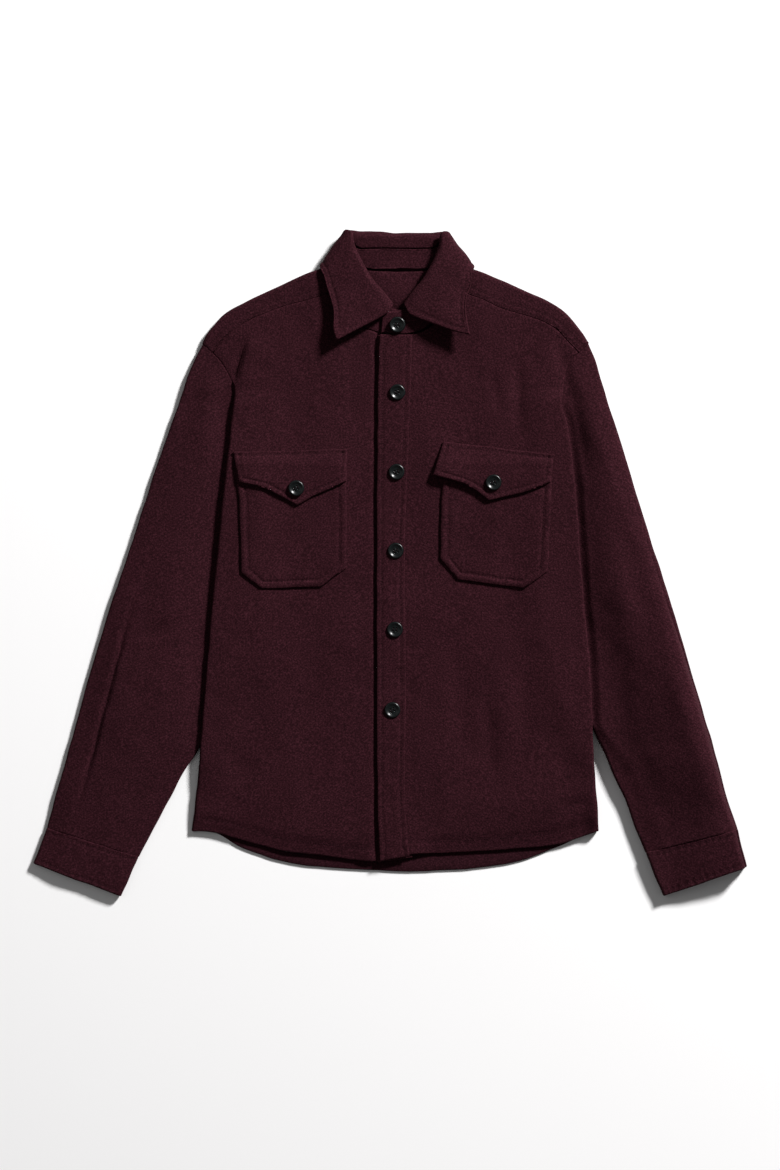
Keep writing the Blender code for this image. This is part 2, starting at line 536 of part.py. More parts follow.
def sleeve_grid(side):
    """Middle surface of a sleeve as rings from the armhole to the cuff."""
    rows = SLEEVE[side]
    tip_y, low_y = ARM_TOP_Y[0], ARM_TOP_Y[-1]
    shares = (tip_y - ARM_TOP_Y) / (tip_y - low_y)
    low_shares = (tip_y - ARM_LOW_Y) / (tip_y - low_y)
    chord = rows["out_o"][0] + shares * (rows["out_i"][0] - rows["out_o"][0])
    bulge = arm_out(side, ARM_TOP_Y) + SEAM / 2 - chord
    low_bulge = np.interp(low_shares, shares, bulge)
    rings = []
    for ways, outer_out, outer_y, inner_out, inner_y, curve in zip(tube_ways(rows), *(rows[key] for key in rows)):
        outer, inner = np.array([outer_out, outer_y]), np.array([inner_out, inner_y])
        width = np.linalg.norm(inner - outer)
        places = outer + shares[:, None] * (inner - outer)
        places[:, 0] += bulge * curve
        low_places = outer + low_shares[:, None] * (inner - outer)
        low_places[:, 0] += low_bulge * curve
        height = sleeve_height(side, places[:, 0], places[:, 1], shares * width * (1 - SHOULDER_LEVEL * curve))
        along_ring = (places[1] - places[0]) / np.linalg.norm(places[1] - places[0])
        ways[0] += curve * (along_ring - ways[0])
        ways[0] /= np.linalg.norm(ways[0])
        rings.append(flat_ring(places, ways, height, SLEEVE_CLOTH / 2, low_places, SLEEVE_CLOTH))
    grid = np.stack(rings)
    grid[..., 0] *= side
    return grid


def cuff_grid(side):
    """Middle surface of a cuff as three rings."""
    shares = np.linspace(0.0, 1.0, 7)
    rings = []
    rows = CUFF_ENDS[side]
    for ways, outer_out, outer_y, inner_out, inner_y in zip(tube_ways(rows), *(rows[key] for key in rows)):
        outer, inner = np.array([outer_out, outer_y]), np.array([inner_out, inner_y])
        places = outer + shares[:, None] * (inner - outer)
        height = CUFF / 2 + 2 * CUFF_RADIUS + CUFF_LOFT * np.sin(math.pi * shares)
        rings.append(flat_ring(places, ways, height, CUFF / 2, places[2:-2], CUFF))
    grid = np.stack(rings)
    grid[..., 0] *= side
    return grid


def collar_fold(side):
    """Points of the collar's side fold, row by row, from the upper to the lower layer."""
    rows = FOLD_ROWS[side]
    edge = plan(rows, "x", "y")
    inward = np.tile(np.array(FOLD_INWARD[side]), (len(edge), 1))
    return fold_arc(edge, inward, rows["top"], rows["low"], FALL)


def collar_back(side, x):
    """Points of the collar behind the neck at one distance from the middle."""
    rows = FOLD_ROWS[side]
    return np.stack([np.full(len(rows["x"]), x), rows["y_back"], rows["z_back"]], axis=-1)


def collar_half(side):
    """Rows of the collar's half from the middle of the front to the middle of the back."""
    rows = COLLAR[side]
    neck, seam, roll, free = (np.stack([rows[c + "x"], rows[c + "y"], rows[c + "z"]], axis=-1) for c in "nmrf")
    leaf = []
    for share, drop in zip(LEAF_ROWS["share"], LEAF_ROWS["drop"]):
        line = roll + share * (free - roll)
        line[:, 2] -= drop
        leaf.append(line)
    front = np.stack([neck, seam] + leaf)
    fold = collar_fold(side)
    back = np.stack([collar_back(side, x) for x in side * NECK_X + np.array(COLLAR_BACK_STEPS)], axis=1)
    half = np.concatenate([front, fold, back], axis=1)
    half[..., 0] *= side
    return half


def collar_rows():
    """Whole collar surface, from the neck seam to the free edge, round the neck."""
    right, left = collar_half(RIGHT), collar_half(LEFT)
    middle = collar_back(LEFT, NECK_X)
    return np.concatenate([right, middle[:, None], left[:, ::-1]], axis=1)


def seam_spaces(rows):
    """Space that stand and fall need at their seam, more where the collar bends."""
    ways = rows[1:3] - rows[:2]
    ways /= np.linalg.norm(ways, axis=2, keepdims=True)
    bend = np.arccos(np.clip((ways[0] * ways[1]).sum(axis=1), -1.0, 1.0))
    return SEAM + SEAM_BEND * FALL * np.tan(bend / 2), ways


def stand_grid(rows):
    """Stand of the collar with its two ends in the middle of the front."""
    ends = {}
    for side in (RIGHT, LEFT):
        end = np.array(STAND_END[side], float).reshape(2, 3)
        end[:, 0] *= side
        ends[side] = end
    space, ways = seam_spaces(rows)
    top = rows[1] - ways[0] * space[:, None] / 2
    top[:, 2] -= SEAM
    lines = np.stack([rows[0], (rows[0] + top) / 2, top])
    closing = {side: np.stack([end[0], end.mean(axis=0), end[1]]) for side, end in ends.items()}
    return np.concatenate([closing[RIGHT][:, None], lines, closing[LEFT][:, None]], axis=1)


def fall_grid(rows):
    """Fall of the collar from the top of its stand to its free edge."""
    space, ways = seam_spaces(rows)
    start = rows[1] + ways[1] * space[:, None] / 2
    start[:, 2] += SEAM
    return np.concatenate([start[None], rows[2:]])


def band_grid():
    """Front band, lying on the left front along its edge."""
    top_y, rows = BAND_EDGES["y"][0], 17
    columns = []
    for edge, end_y in zip(("left", "right"), BAND_END["y"]):
        y = top_y + np.linspace(0, 1, rows) * (end_y - top_y)
        columns.append(np.stack([value_at(BAND_EDGES, "y", edge, y), y], axis=-1))
    grid = along_pairs(columns[0], columns[1], np.array([0, 0.5, 1.0]))
    height = front_height(LEFT, grid[..., 0], grid[..., 1]) + CLOTH / 2 + ON_PANEL + BAND / 2
    return np.concatenate([grid, height[..., None]], axis=2)


def pocket_grid(side):
    """Breast pocket, lying on its front."""
    rows = POCKET[side]
    grid = along_pairs(plan(rows, "out_o", "y_o"), plan(rows, "out_i", "y_i"), np.linspace(0, 1, 13))
    height = front_height(side, grid[..., 0], grid[..., 1]) + CLOTH / 2 + ON_PANEL + PATCH / 2
    grid = np.concatenate([grid, height[..., None]], axis=2)
    grid[..., 0] *= side
    return grid


def flap_grid(side):
    """Pocket flap: sewn on the front along its top, then lying on the pocket."""
    rows = POCKET_FLAP[side]
    top, bottom = plan(rows, "out_t", "y_t"), plan(rows, "out_b", "y_b")
    pocket_top = POCKET[side]["y_o"][0]
    reach = (top[:, 1] - pocket_top - FLAP) / (top[:, 1] - bottom[:, 1])
    climb = np.array([0.0, 0.3, 1.0, 1.0, 1.0])
    shares = reach[:, None] * np.array([0.0, 0.5, 1.0, 0.0, 0.0])
    shares[:, 3:] = reach[:, None] + (1.0 - reach[:, None]) * np.array([0.5, 1.0])
    grid = top[:, None] + shares[..., None] * (bottom - top)[:, None]
    height = front_height(side, grid[..., 0], grid[..., 1]) + CLOTH / 2 + ON_PANEL + FLAP / 2
    height += climb * (PATCH + ON_PANEL) + rows["lift"][:, None] * shares ** 2
    grid = np.concatenate([grid, height[..., None]], axis=2)
    grid[..., 0] *= side
    return grid


def button_mesh():
    """Four-hole button: a turned rim round a shallow dish, cut by four round holes."""
    profile = table("radius height", (9.0, 0.0), (9.75, 1.0), (9.5, 2.6), (8.3, 3.2), (6.9, 2.7), (5.8, 2.0))
    segments = 16
    angles = np.linspace(0, 2 * math.pi, segments, endpoint=False)
    points = [(0.0, 0.0, 0.0)]
    for radius, height in zip(profile["radius"], profile["height"]):
        points += [(radius * math.cos(a), radius * math.sin(a), height) for a in angles]
    points.append((0.0, 0.0, float(profile["height"][-1])))
    last = len(points) - 1
    faces = []
    for i in range(segments):
        after = (i + 1) % segments
        faces.append((0, 1 + after, 1 + i))
        for ring in range(len(profile["radius"]) - 1):
            low, high = 1 + ring * segments, 1 + (ring + 1) * segments
            faces.append((low + i, low + after, high + after, high + i))
        faces.append((last, last - segments + i, last - segments + after))
    blank = make_object("button_blank", np.array(points), faces, None)
    tools = []
    for turn in range(4):
        angle = math.radians(45 + 90 * turn)
        place = (HOLE_OUT * MM * math.cos(angle), HOLE_OUT * MM * math.sin(angle), 0)
        bpy.ops.mesh.primitive_cylinder_add(vertices=6, radius=HOLE_RADIUS * MM, depth=8 * MM, location=place)
        tool = bpy.context.object
        tool.display_type = "WIRE"
        tool.hide_render = True
        cut = blank.modifiers.new("hole", "BOOLEAN")
        cut.operation = "DIFFERENCE"
        cut.solver = "EXACT"
        cut.object = tool
        tools.append(tool)
    bpy.context.view_layer.update()
    mesh = bpy.data.meshes.new_from_object(blank.evaluated_get(bpy.context.evaluated_depsgraph_get()))
    for obj in [blank] + tools:
        bpy.data.objects.remove(obj)
    return mesh


def surface_under(obj, x, y, radius):
    """Highest point of an object under a round place, in millimetres."""
    tree = BVHTree.FromPolygons([v.co for v in obj.data.vertices], [p.vertices[:] for p in obj.data.polygons])
    heights = []
    for step in range(12):
        angle = step * math.pi / 6
        for distance in (0.0, radius / 2, radius):
            origin = Vector(((x + distance * math.cos(angle)) * MM, (y + distance * math.sin(angle)) * MM, 1.0))
            hit = tree.ray_cast(origin, Vector((0, 0, -1)))[0]
            if hit is not None:
                heights.append(hit.z / MM)
    return max(heights)


def place_button(name, mesh, carrier, x, y, finish):
    """Button lying on a piece of the garment."""
    obj = bpy.data.objects.new(name, mesh.copy())
    obj.data.materials.clear()
    obj.data.materials.append(finish)
    obj.location = (x * MM, y * MM, (surface_under(carrier, x, y, BUTTON_RADIUS) + BUTTON_SPACE) * MM)
    bpy.context.scene.collection.objects.link(obj)


def build():
    """Builds every piece of the garment."""
    for obj in list(bpy.data.objects):
        bpy.data.objects.remove(obj)
    wool, inside, horn = (make_material(name) for name in ("wool", "wool_inside", "button"))
    make_wall("back", back_grid(), CLOTH, inside)
    grid, present = yoke_grid()
    make_wall("back_yoke", grid, CLOTH, wool, present=present)
    names = {RIGHT: "right", LEFT: "left"}
    flaps = {}
    for side, word in names.items():
        make_wall("front_" + word, front_grid(side), CLOTH, wool)
        make_wall("sleeve_" + word, sleeve_grid(side), SLEEVE_CLOTH, wool, closed=True)
        make_wall("cuff_" + word, cuff_grid(side), CUFF, wool, closed=True)
        make_wall("pocket_" + word, pocket_grid(side), PATCH, wool)
        flaps[side] = make_wall("flap_" + word, flap_grid(side), FLAP, wool)
    band = make_wall("front_band", band_grid(), BAND, wool)
    rows = collar_rows()
    stand = make_wall("collar_stand", stand_grid(rows), STAND, wool)
    make_wall("collar_fall", fall_grid(rows), FALL, wool)
    mesh = button_mesh()
    for number, (x, y) in enumerate(zip(BUTTON_PLACES["x"], BUTTON_PLACES["y"])):
        carrier = stand if number == 0 else band
        place_button("button_front_%d" % (number + 1), mesh, carrier, x, y, horn)
    for side, word in names.items():
        out, y = FLAP_BUTTON[side]
        place_button("button_flap_" + word, mesh, flaps[side], side * out, y, horn)


build()
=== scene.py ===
"""Looks of a brushed wool shirt jacket that lies flat on its back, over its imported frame.

Lengths in the classes and tables are millimetres: X across, Y towards the collar, Z up.
The wearer's right is at -X and the wearer's left, which buttons over it, is at +X.
Both sides share their code: "out" is the distance outwards from the middle line X = 0.
"""

import logging
import math
from collections.abc import Callable
from dataclasses import dataclass, field
from enum import Enum

import bpy
import numpy as np
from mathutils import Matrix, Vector
from mathutils.bvhtree import BVHTree


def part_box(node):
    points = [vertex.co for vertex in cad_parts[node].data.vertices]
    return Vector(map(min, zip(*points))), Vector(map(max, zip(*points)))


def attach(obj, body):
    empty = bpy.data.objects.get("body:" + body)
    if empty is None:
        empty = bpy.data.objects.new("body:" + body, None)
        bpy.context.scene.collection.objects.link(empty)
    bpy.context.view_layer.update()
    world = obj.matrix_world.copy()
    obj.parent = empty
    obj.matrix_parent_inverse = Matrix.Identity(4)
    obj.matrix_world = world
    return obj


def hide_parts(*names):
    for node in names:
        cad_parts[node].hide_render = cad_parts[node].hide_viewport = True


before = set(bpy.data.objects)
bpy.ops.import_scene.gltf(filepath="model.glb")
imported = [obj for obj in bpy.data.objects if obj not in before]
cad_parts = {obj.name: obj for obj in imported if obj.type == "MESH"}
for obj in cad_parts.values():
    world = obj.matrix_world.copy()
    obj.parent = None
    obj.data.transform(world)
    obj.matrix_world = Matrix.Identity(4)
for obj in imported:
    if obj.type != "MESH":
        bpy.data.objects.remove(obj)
log = logging.getLogger("shirt_jacket")

Array = np.ndarray
Table = dict[str, Array]
Pair = tuple[float, float]
Ridge = tuple[float, float, float]
Dome = tuple[float, float, float, float]
Waves = tuple[float, int, float, float]
Material = bpy.types.Material
Object = bpy.types.Object
Socket = bpy.types.NodeSocket
Tree = bpy.types.NodeTree

MM = 0.001
SEAM = 0.4            # space between two pieces at a seam
CLOTH = 2.4           # one layer of brushed wool
FLOOR_LAYER = CLOTH / 2


class Side(Enum):
    """The wearer's side, as the sign of X."""

    RIGHT = -1
    LEFT = 1

    @property
    def word(self) -> str:
        """Name of the side as the nodes have it."""
        return self.name.lower()


def table(names: str, *rows: tuple[float, ...]) -> Table:
    """Columns of a table by name, as arrays."""
    return {name: np.array([row[i] for row in rows], float) for i, name in enumerate(names.split())}


def each_side(right: object, left: object) -> object:
    """Dataclass field that holds one value for each side."""
    return field(default_factory=lambda: {Side.RIGHT: right, Side.LEFT: left})


# Where each front folds under, and where the armhole or the side seam runs.
EDGE = {
    Side.RIGHT: table("y fold seam", (256, 216.7, 216.7), (248, 208.5, 208.5), (226, 195.5, 195.5),
        (215, 190.75, 190.75), (204, 190, 186), (194, 191.2, 185.7), (180, 192.8, 185.3), (155, 195.6, 183.6),
        (125, 198.8, 181.5), (90, 202.8, 180.75), (50, 207, 179.9), (9, 211, 179), (-33, 215.6, 207.6),
        (-75, 219.5, 211.5), (-120, 223, 215), (-170, 227, 219), (-226, 231.5, 223.5), (-265, 234.5, 226.5),
        (-290, 237.5, 229.5), (-327, 242, 234)),
    Side.LEFT: table("y fold seam", (256, 229.4, 229.4), (248, 221, 221), (226, 213, 213), (215, 211.5, 211.5),
        (204, 210, 210), (194, 208.75, 208.75), (180, 213, 207), (155, 218, 204.7), (125, 222, 202),
        (90, 226, 201.1), (50, 229, 200.05), (9, 232, 199), (-33, 235, 227), (-75, 239, 231),
        (-120, 243.5, 235.5), (-170, 246, 238), (-226, 247.5, 239.5), (-265, 250, 242), (-290, 252.5, 244.5),
        (-327, 254.5, 246.5)),
}
SHOULDER_TIP = {Side.RIGHT: (229.0, 268.0), Side.LEFT: (242.0, 268.0)}
SLEEVE_INNER = {
    Side.RIGHT: table("y out", (9, 179), (-45, 179), (-106, 188), (-167, 205), (-214, 226), (-240, 244),
        (-289, 270), (-357, 306)),
    Side.LEFT: table("y out", (9, 199), (-45, 201), (-94, 210), (-155, 229), (-201, 246), (-240, 265),
        (-289, 287), (-352, 311)),
}
# Shoulder line, front yoke seam, neck seam and hems, from the outside to the middle.
SHOULDER = {
    Side.RIGHT: ((229, 268), (221, 282), (201, 304), (177, 318), (145, 333), (112, 348), (95, 355), (75, 362)),
    Side.LEFT: ((242, 268), (233, 282), (214, 304), (194, 318), (162, 333), (127, 348), (110, 355), (90, 362)),
}
YOKE_SEAM = {
    Side.RIGHT: ((216.7, 256), (193, 281), (162, 300), (124, 314), (88, 324), (75, 328)),
    Side.LEFT: ((229.4, 256), (215, 271), (199, 287), (176, 298), (138, 309), (105, 324), (90, 329)),
}
NECK_SEAM = {
    Side.RIGHT: ((75, 328), (61, 314), (46, 298), (33, 287), (24, 282.5), (-3, 279), (-27, 278)),
    Side.LEFT: ((90, 329), (76, 314), (61, 298), (44, 284), (27, 279), (7, 278), (-15, 277)),
}
HEM_FRONT = {
    Side.RIGHT: ((-27, -359), (15, -364), (81, -357), (127, -351), (183, -337), (215, -328.5), (242, -327)),
    Side.LEFT: ((-15, -365), (27, -355), (81, -353), (143, -349), (198, -344), (227, -336), (254.5, -327)),
}
HEM_BACK = ((-242, -327), (-215, -329), (-183, -346), (-127, -365), (-81, -371), (-15, -375), (27, -376),
            (81, -374), (143, -367), (198, -349), (227, -336), (254.5, -327))


def smooth_step(t: Array) -> Array:
    """0 below 0, 1 above 1 and 3t^2 - 2t^3 between them."""
    t = np.clip(t, 0.0, 1.0)
    return t * t * (3.0 - 2.0 * t)


def above(place: Array, start: float, run: Array | float) -> Array:
    """0 up to a start, and 1 from a run beyond it."""
    return smooth_step((place - start) / run)


def below(place: Array, start: float, run: float) -> Array:
    """0 down to a start, and 1 from a run beneath it."""
    return smooth_step((start - place) / run)


def bell(distance: Array, width: float) -> Array:
    """exp(-(distance / width)^2), the cross-section of a soft ridge."""
    return np.exp(-((distance / width) ** 2))


def points_of(*parts: Array | float) -> Array:
    """Points from their coordinates, any of which may be one number for all."""
    return np.stack(np.broadcast_arrays(*parts), axis=-1)


def pick(rows: Table, names: str) -> Array:
    """Points from the named columns of a table."""
    return points_of(*(rows[name] for name in names.split()))


def height_at(line: tuple | Array, x: Array) -> Array:
    """Y of a plan line at places across, whose X rises along it."""
    return np.interp(x, *np.transpose(line))


def ring_cells(index: Array) -> Array:
    """Cells between neighbours in the last two axes of point numbers, the last one a closed ring."""
    after = np.roll(index, -1, axis=-1)
    return np.stack([index[..., :-1, :], after[..., :-1, :], after[..., 1:, :], index[..., 1:, :]], axis=-1)


def unit(ways: Array) -> Array:
    """Vectors scaled to a length of one."""
    return ways / np.linalg.norm(ways, axis=-1, keepdims=True)


def eased(knots: Array, values: Array, at: Array) -> Array:
    """Cubic through knots, with the harmonic mean of the slopes beside each and none at a turn.

    Args:
        knots: Rising places of the values.
        values: One value or point for each knot.
        at: Places where the curve is read.

    Returns:
        The curve's values, which never pass beyond those of the knots.
    """
    shape = (-1,) + (1,) * (values.ndim - 1)
    step = np.diff(knots)
    slope = np.diff(values, axis=0) / step.reshape(shape)
    product, total = slope[:-1] * slope[1:], slope[:-1] + slope[1:]
    mean = np.where(product > 0, 2 * product / np.where(product > 0, total, 1.0), 0.0)
    tangent = np.concatenate([slope[:1], mean, slope[-1:]])
    place = np.ravel(at)
    index = np.clip(np.searchsorted(knots, place, side="right") - 1, 0, len(knots) - 2)
    t = np.clip((place - knots[index]) / step[index], 0.0, 1.0).reshape(shape)
    width = step[index].reshape(shape)
    curve = ((2 * t ** 3 - 3 * t ** 2 + 1) * values[index] + (t ** 3 - 2 * t ** 2 + t) * width * tangent[index]
             + (3 * t ** 2 - 2 * t ** 3) * values[index + 1] + (t ** 3 - t ** 2) * width * tangent[index + 1])
    return curve.reshape(np.shape(at) + values.shape[1:])


def spread(knots: Array, pitch: float) -> Array:
    """Knots with equal steps of at most the pitch between them."""
    knots = np.asarray(knots, float)
    counts = np.maximum(1, np.ceil(np.abs(np.diff(knots)) / pitch)).astype(int)
    parts = [np.linspace(a, b, n, endpoint=False) for a, b, n in zip(knots[:-1], knots[1:], counts)]
    return np.concatenate(parts + [knots[-1:]])


def lengths(points: Array) -> Array:
    """Length run along a line of points, up to each of them."""
    steps = np.linalg.norm(np.diff(points, axis=0), axis=-1)
    return np.concatenate([np.zeros((1,) + steps.shape[1:]), np.cumsum(steps, axis=0)])


def flowing(points: tuple | Array, pitch: float = 3.0) -> Array:
    """Smooth line through points, with a point at every pitch of its length."""
    points = np.asarray(points, float)
    run = lengths(points)
    return eased(run, points, spread(run, pitch))


def along(line: Array, shares: Array) -> Array:
    """Points at shares of the length of a line."""
    run = lengths(line)
    return points_of(*(np.interp(shares * run[-1], run, part) for part in line.T))


def offset_line(line: Array, distance: float) -> Array:
    """Plan line moved to its left by a distance, mitred at its corners."""
    way = unit(np.diff(line, axis=0))
    left = points_of(-way[:, 1], way[:, 0])
    before, after = np.concatenate([left[:1], left]), np.concatenate([left, left[-1:]])
    return line + distance * (before + after) / (1.0 + (before * after).sum(axis=1, keepdims=True))


def mirrored(line: Array, side: Side) -> Array:
    """Line of (out, y) as world (x, y)."""
    return np.asarray(line, float) * (side.value, 1.0)


def placed(grid: Array, side: Side) -> Array:
    """Grid of (out, y, z) as world (x, y, z)."""
    return grid * (side.value, 1.0, 1.0)


def near_line(points: Array, line: Array) -> tuple[Array, Array]:
    """Distance of points from a line, and the length along it of the nearest place."""
    start, way = line[:-1], np.diff(line, axis=0)
    square = (way ** 2).sum(axis=1)
    away = points[..., None, :] - start
    share = np.clip((away * way).sum(axis=-1) / square, 0.0, 1.0)
    distance = np.linalg.norm(away - share[..., None] * way, axis=-1)
    nearest = distance.argmin(axis=-1)[..., None]
    run = lengths(line)[:-1] + share * np.sqrt(square)
    return (np.take_along_axis(distance, nearest, -1)[..., 0], np.take_along_axis(run, nearest, -1)[..., 0])


def waves(x: Array, y: Array, seed: int, shortest: float, longest: float, count: int = 14) -> Array:
    """Sum of sine waves in seeded directions and lengths, about -1 to 1."""
    chance = np.random.default_rng(seed)
    heading = chance.uniform(0, 2 * math.pi, count)
    number = 2 * math.pi / np.exp(chance.uniform(math.log(shortest), math.log(longest), count))
    phase = chance.uniform(0, 2 * math.pi, count)
    place = x[..., None] * np.cos(heading) + y[..., None] * np.sin(heading)
    return np.sin(place * number + phase).sum(axis=-1) / math.sqrt(count) / 1.5


def ridge(distance: Array, rise: float, middle: float, width: float) -> Array:
    """Soft ridge at a distance from a line."""
    return rise * bell(distance - middle, width)


def uneven(grid: Array, rise: float, seed: int, shortest: float, longest: float) -> Array:
    """Seeded waves by plan place, times a rise."""
    return rise * waves(grid[..., 0], grid[..., 1], seed, shortest, longest)


def linear(code: str) -> tuple[float, ...]:
    """Linear colour of an sRGB hex code."""
    parts = [int(code[i:i + 2], 16) / 255 for i in (1, 3, 5)]
    return (*(c / 12.92 if c <= 0.04045 else ((c + 0.055) / 1.055) ** 2.4 for c in parts), 1.0)


def plug(tree: Tree, node: bpy.types.Node, values: dict | None, links: dict | None) -> None:
    """Sets the values of a node's sockets, and the links into them."""
    for socket, value in (values or {}).items():
        node.inputs[socket].default_value = value
    for socket, source in (links or {}).items():
        tree.links.new(source, node.inputs[socket])


def add_node(tree: Tree, kind: str, values: dict | None = None, links: dict | None = None,
             **settings: object) -> bpy.types.Node:
    """Adds a node with its settings, the values of its sockets and the links into them."""
    node = tree.nodes.new(kind)
    for name, value in settings.items():
        setattr(node, name, value)
    plug(tree, node, values, links)
    return node


class Look:
    """Material while it is made: its shader, and textures read by the object's own place."""

    def __init__(self, name: str) -> None:
        """Starts a material with one principled shader."""
        self.material = bpy.data.materials.new(name)
        self.material.use_nodes = True
        self.tree = self.material.node_tree
        self.place = self.add("ShaderNodeTexCoord").outputs

    def add(self, kind: str, values: dict | None = None, links: dict | None = None,
            **settings: object) -> bpy.types.Node:
        """Adds a node to the material."""
        return add_node(self.tree, kind, values, links, **settings)

    def noise(self, grain_mm: float, **values: float) -> Socket:
        """Noise of a grain, 0 to 1."""
        values = {"Scale": 1 / (grain_mm * MM), **values}
        return self.add("ShaderNodeTexNoise", values, {"Vector": self.place["Object"]}).outputs["Fac"]

    def twill(self, pitch_mm: float, mapped: str, **values: float) -> Socket:
        """Diagonal bands at a pitch, 0 to 1, by the object's place or by the cloth's own map."""
        values = {"Scale": math.pi / 10 / (pitch_mm * MM), **values}
        return self.add("ShaderNodeTexWave", values, {"Vector": self.place[mapped]}, wave_type="BANDS",
                        bands_direction="DIAGONAL").outputs["Fac"]

    def multiply_add(self, source: Socket, share: float,
                     rest: Socket | None = None) -> Socket:
        """A source times its share, added to the rest."""
        if rest is None:
            return self.add("ShaderNodeMath", {1: share}, {0: source}, operation="MULTIPLY").outputs[0]
        return self.add("ShaderNodeMath", {1: share}, {0: source, 2: rest}, operation="MULTIPLY_ADD").outputs[0]

    def ramp(self, source: Socket, *stops: tuple[float, str]) -> Socket:
        """Colour ramp with stops of a place and an sRGB hex code."""
        node = self.add("ShaderNodeValToRGB", links={"Fac": source})
        elements = node.color_ramp.elements
        while len(elements) < len(stops):
            elements.new(0.5)
        for element, (place, code) in zip(elements, stops):
            element.position = place
            element.color = linear(code)
        return node.outputs["Color"]

    def bump(self, height: Socket, strength: float, deep_mm: float) -> Socket:
        """Fine relief, far below a millimetre deep."""
        return self.add("ShaderNodeBump", {"Strength": strength, "Distance": deep_mm * MM},
                        {"Height": height}).outputs["Normal"]

    def finish(self, values: dict, links: dict) -> Material:
        """Fills the shader's sockets and hands over the material."""
        plug(self.tree, self.tree.nodes["Principled BSDF"], values, links)
        return self.material


@dataclass(frozen=True)
class BrushedWool:
    """Heathered wool flannel, milled and brushed: a soft nap over a hidden twill.

    The nap gives the eye fine blotches a millimetre or two wide, a matt face and a pale bloom at
    glancing angles. Threads are 1.1 mm apart, drawn as coarse as the render can show.
    """

    name: str
    deep: str
    body: str
    light: str
    sheen: float
    fleck_mm: float = 2.0
    fibre_mm: float = 0.9
    twill_mm: float = 2.2
    cloud_mm: float = 45.0
    nap_mm: float = 0.6
    nap_strength: float = 0.55
    fibre_height: float = 0.55
    shares: tuple[float, ...] = (0.62, 0.30, 0.03, 0.06)
    stops: tuple[float, ...] = (0.36, 0.50, 0.64)
    bloom: str = "#a0525f"

    def material(self) -> Material:
        """Material of the cloth, its nap by object place and its twill along the cloth's own map."""
        look = Look(self.name)
        fleck = look.noise(self.fleck_mm, Detail=3.0, Roughness=0.62)
        fibre = look.noise(self.fibre_mm, Detail=2.0, Roughness=0.7)
        cloud = look.noise(self.cloud_mm, Detail=3.0)
        twill = look.twill(self.twill_mm, "UV", Distortion=2.4, Detail=2.0, **{"Detail Scale": 1.5})
        mixed = None
        for source, share in zip((fleck, fibre, twill, cloud), self.shares):
            mixed = look.multiply_add(source, share, mixed)
        colour = look.ramp(mixed, *zip(self.stops, (self.deep, self.body, self.light)))
        nap = look.bump(look.multiply_add(fibre, self.fibre_height, fleck), self.nap_strength, self.nap_mm)
        return look.finish({"Roughness": 0.92, "Specular IOR Level": 0.05, "Sheen Weight": self.sheen,
                            "Sheen Roughness": 0.45, "Sheen Tint": linear(self.bloom)},
                           {"Base Color": colour, "Normal": nap})


@dataclass(frozen=True)
class PolishedResin:
    """Cast polyester button, tumbled to a gloss: near black with smoky green swirls in its depth."""

    name: str = "polished_resin_button"
    deep: str = "#050808"
    smoke: str = "#0c1213"
    swirl_mm: float = 3.2
    scratch_mm: float = 0.7

    def material(self) -> Material:
        """Material of the buttons."""
        look = Look(self.name)
        colour = look.ramp(look.noise(self.swirl_mm, Detail=2.0, Distortion=1.6), (0.42, self.deep),
                           (0.72, self.smoke))
        dull = look.add("ShaderNodeMapRange", {"To Min": 0.26, "To Max": 0.36},
                        {"Value": look.noise(self.scratch_mm, Detail=3.0)})
        return look.finish({"IOR": 1.5, "Specular IOR Level": 0.36},
                           {"Base Color": colour, "Roughness": dull.outputs["Result"]})


@dataclass(frozen=True)
class SpunThread:
    """Spun polyester sewing thread, dyed to the cloth: a little cleaner and brighter than the nap."""

    name: str
    colour: str
    ply_mm: float = 0.5
    # share of the thread colour kept in the painted shade between the plies
    shade: float = 0.55

    def material(self) -> Material:
        """Material of the stitches, with painted shade darkening the bands between the plies."""
        look = Look(self.name)
        ply = look.twill(self.ply_mm, "Object", Distortion=1.0)
        bright = linear(self.colour)
        # painted shade: bands between the plies get the thread colour times the shade share
        dark = (*(part * self.shade for part in bright[:3]), 1.0)
        tone = look.add("ShaderNodeMix", {"B": bright}, {"Factor": ply}, data_type="RGBA", blend_type="MIX")
        tone.inputs["A"].default_value = dark
        return look.finish({"Roughness": 0.8, "Specular IOR Level": 0.08},
                           {"Base Color": tone.outputs["Result"]})


@dataclass(frozen=True)
class StudioPaper:
    """Matt white paper sweep, which the photographer's floor is."""

    name: str = "white_paper_sweep"
    colour: str = "#f3f2f2"
    tooth_mm: float = 2.5

    def material(self) -> Material:
        """Material of the floor, with a tooth too fine to see."""
        look = Look(self.name)
        return look.finish({"Base Color": linear(self.colour), "Roughness": 0.9},
                           {"Normal": look.bump(look.noise(self.tooth_mm), 0.05, 0.1)})


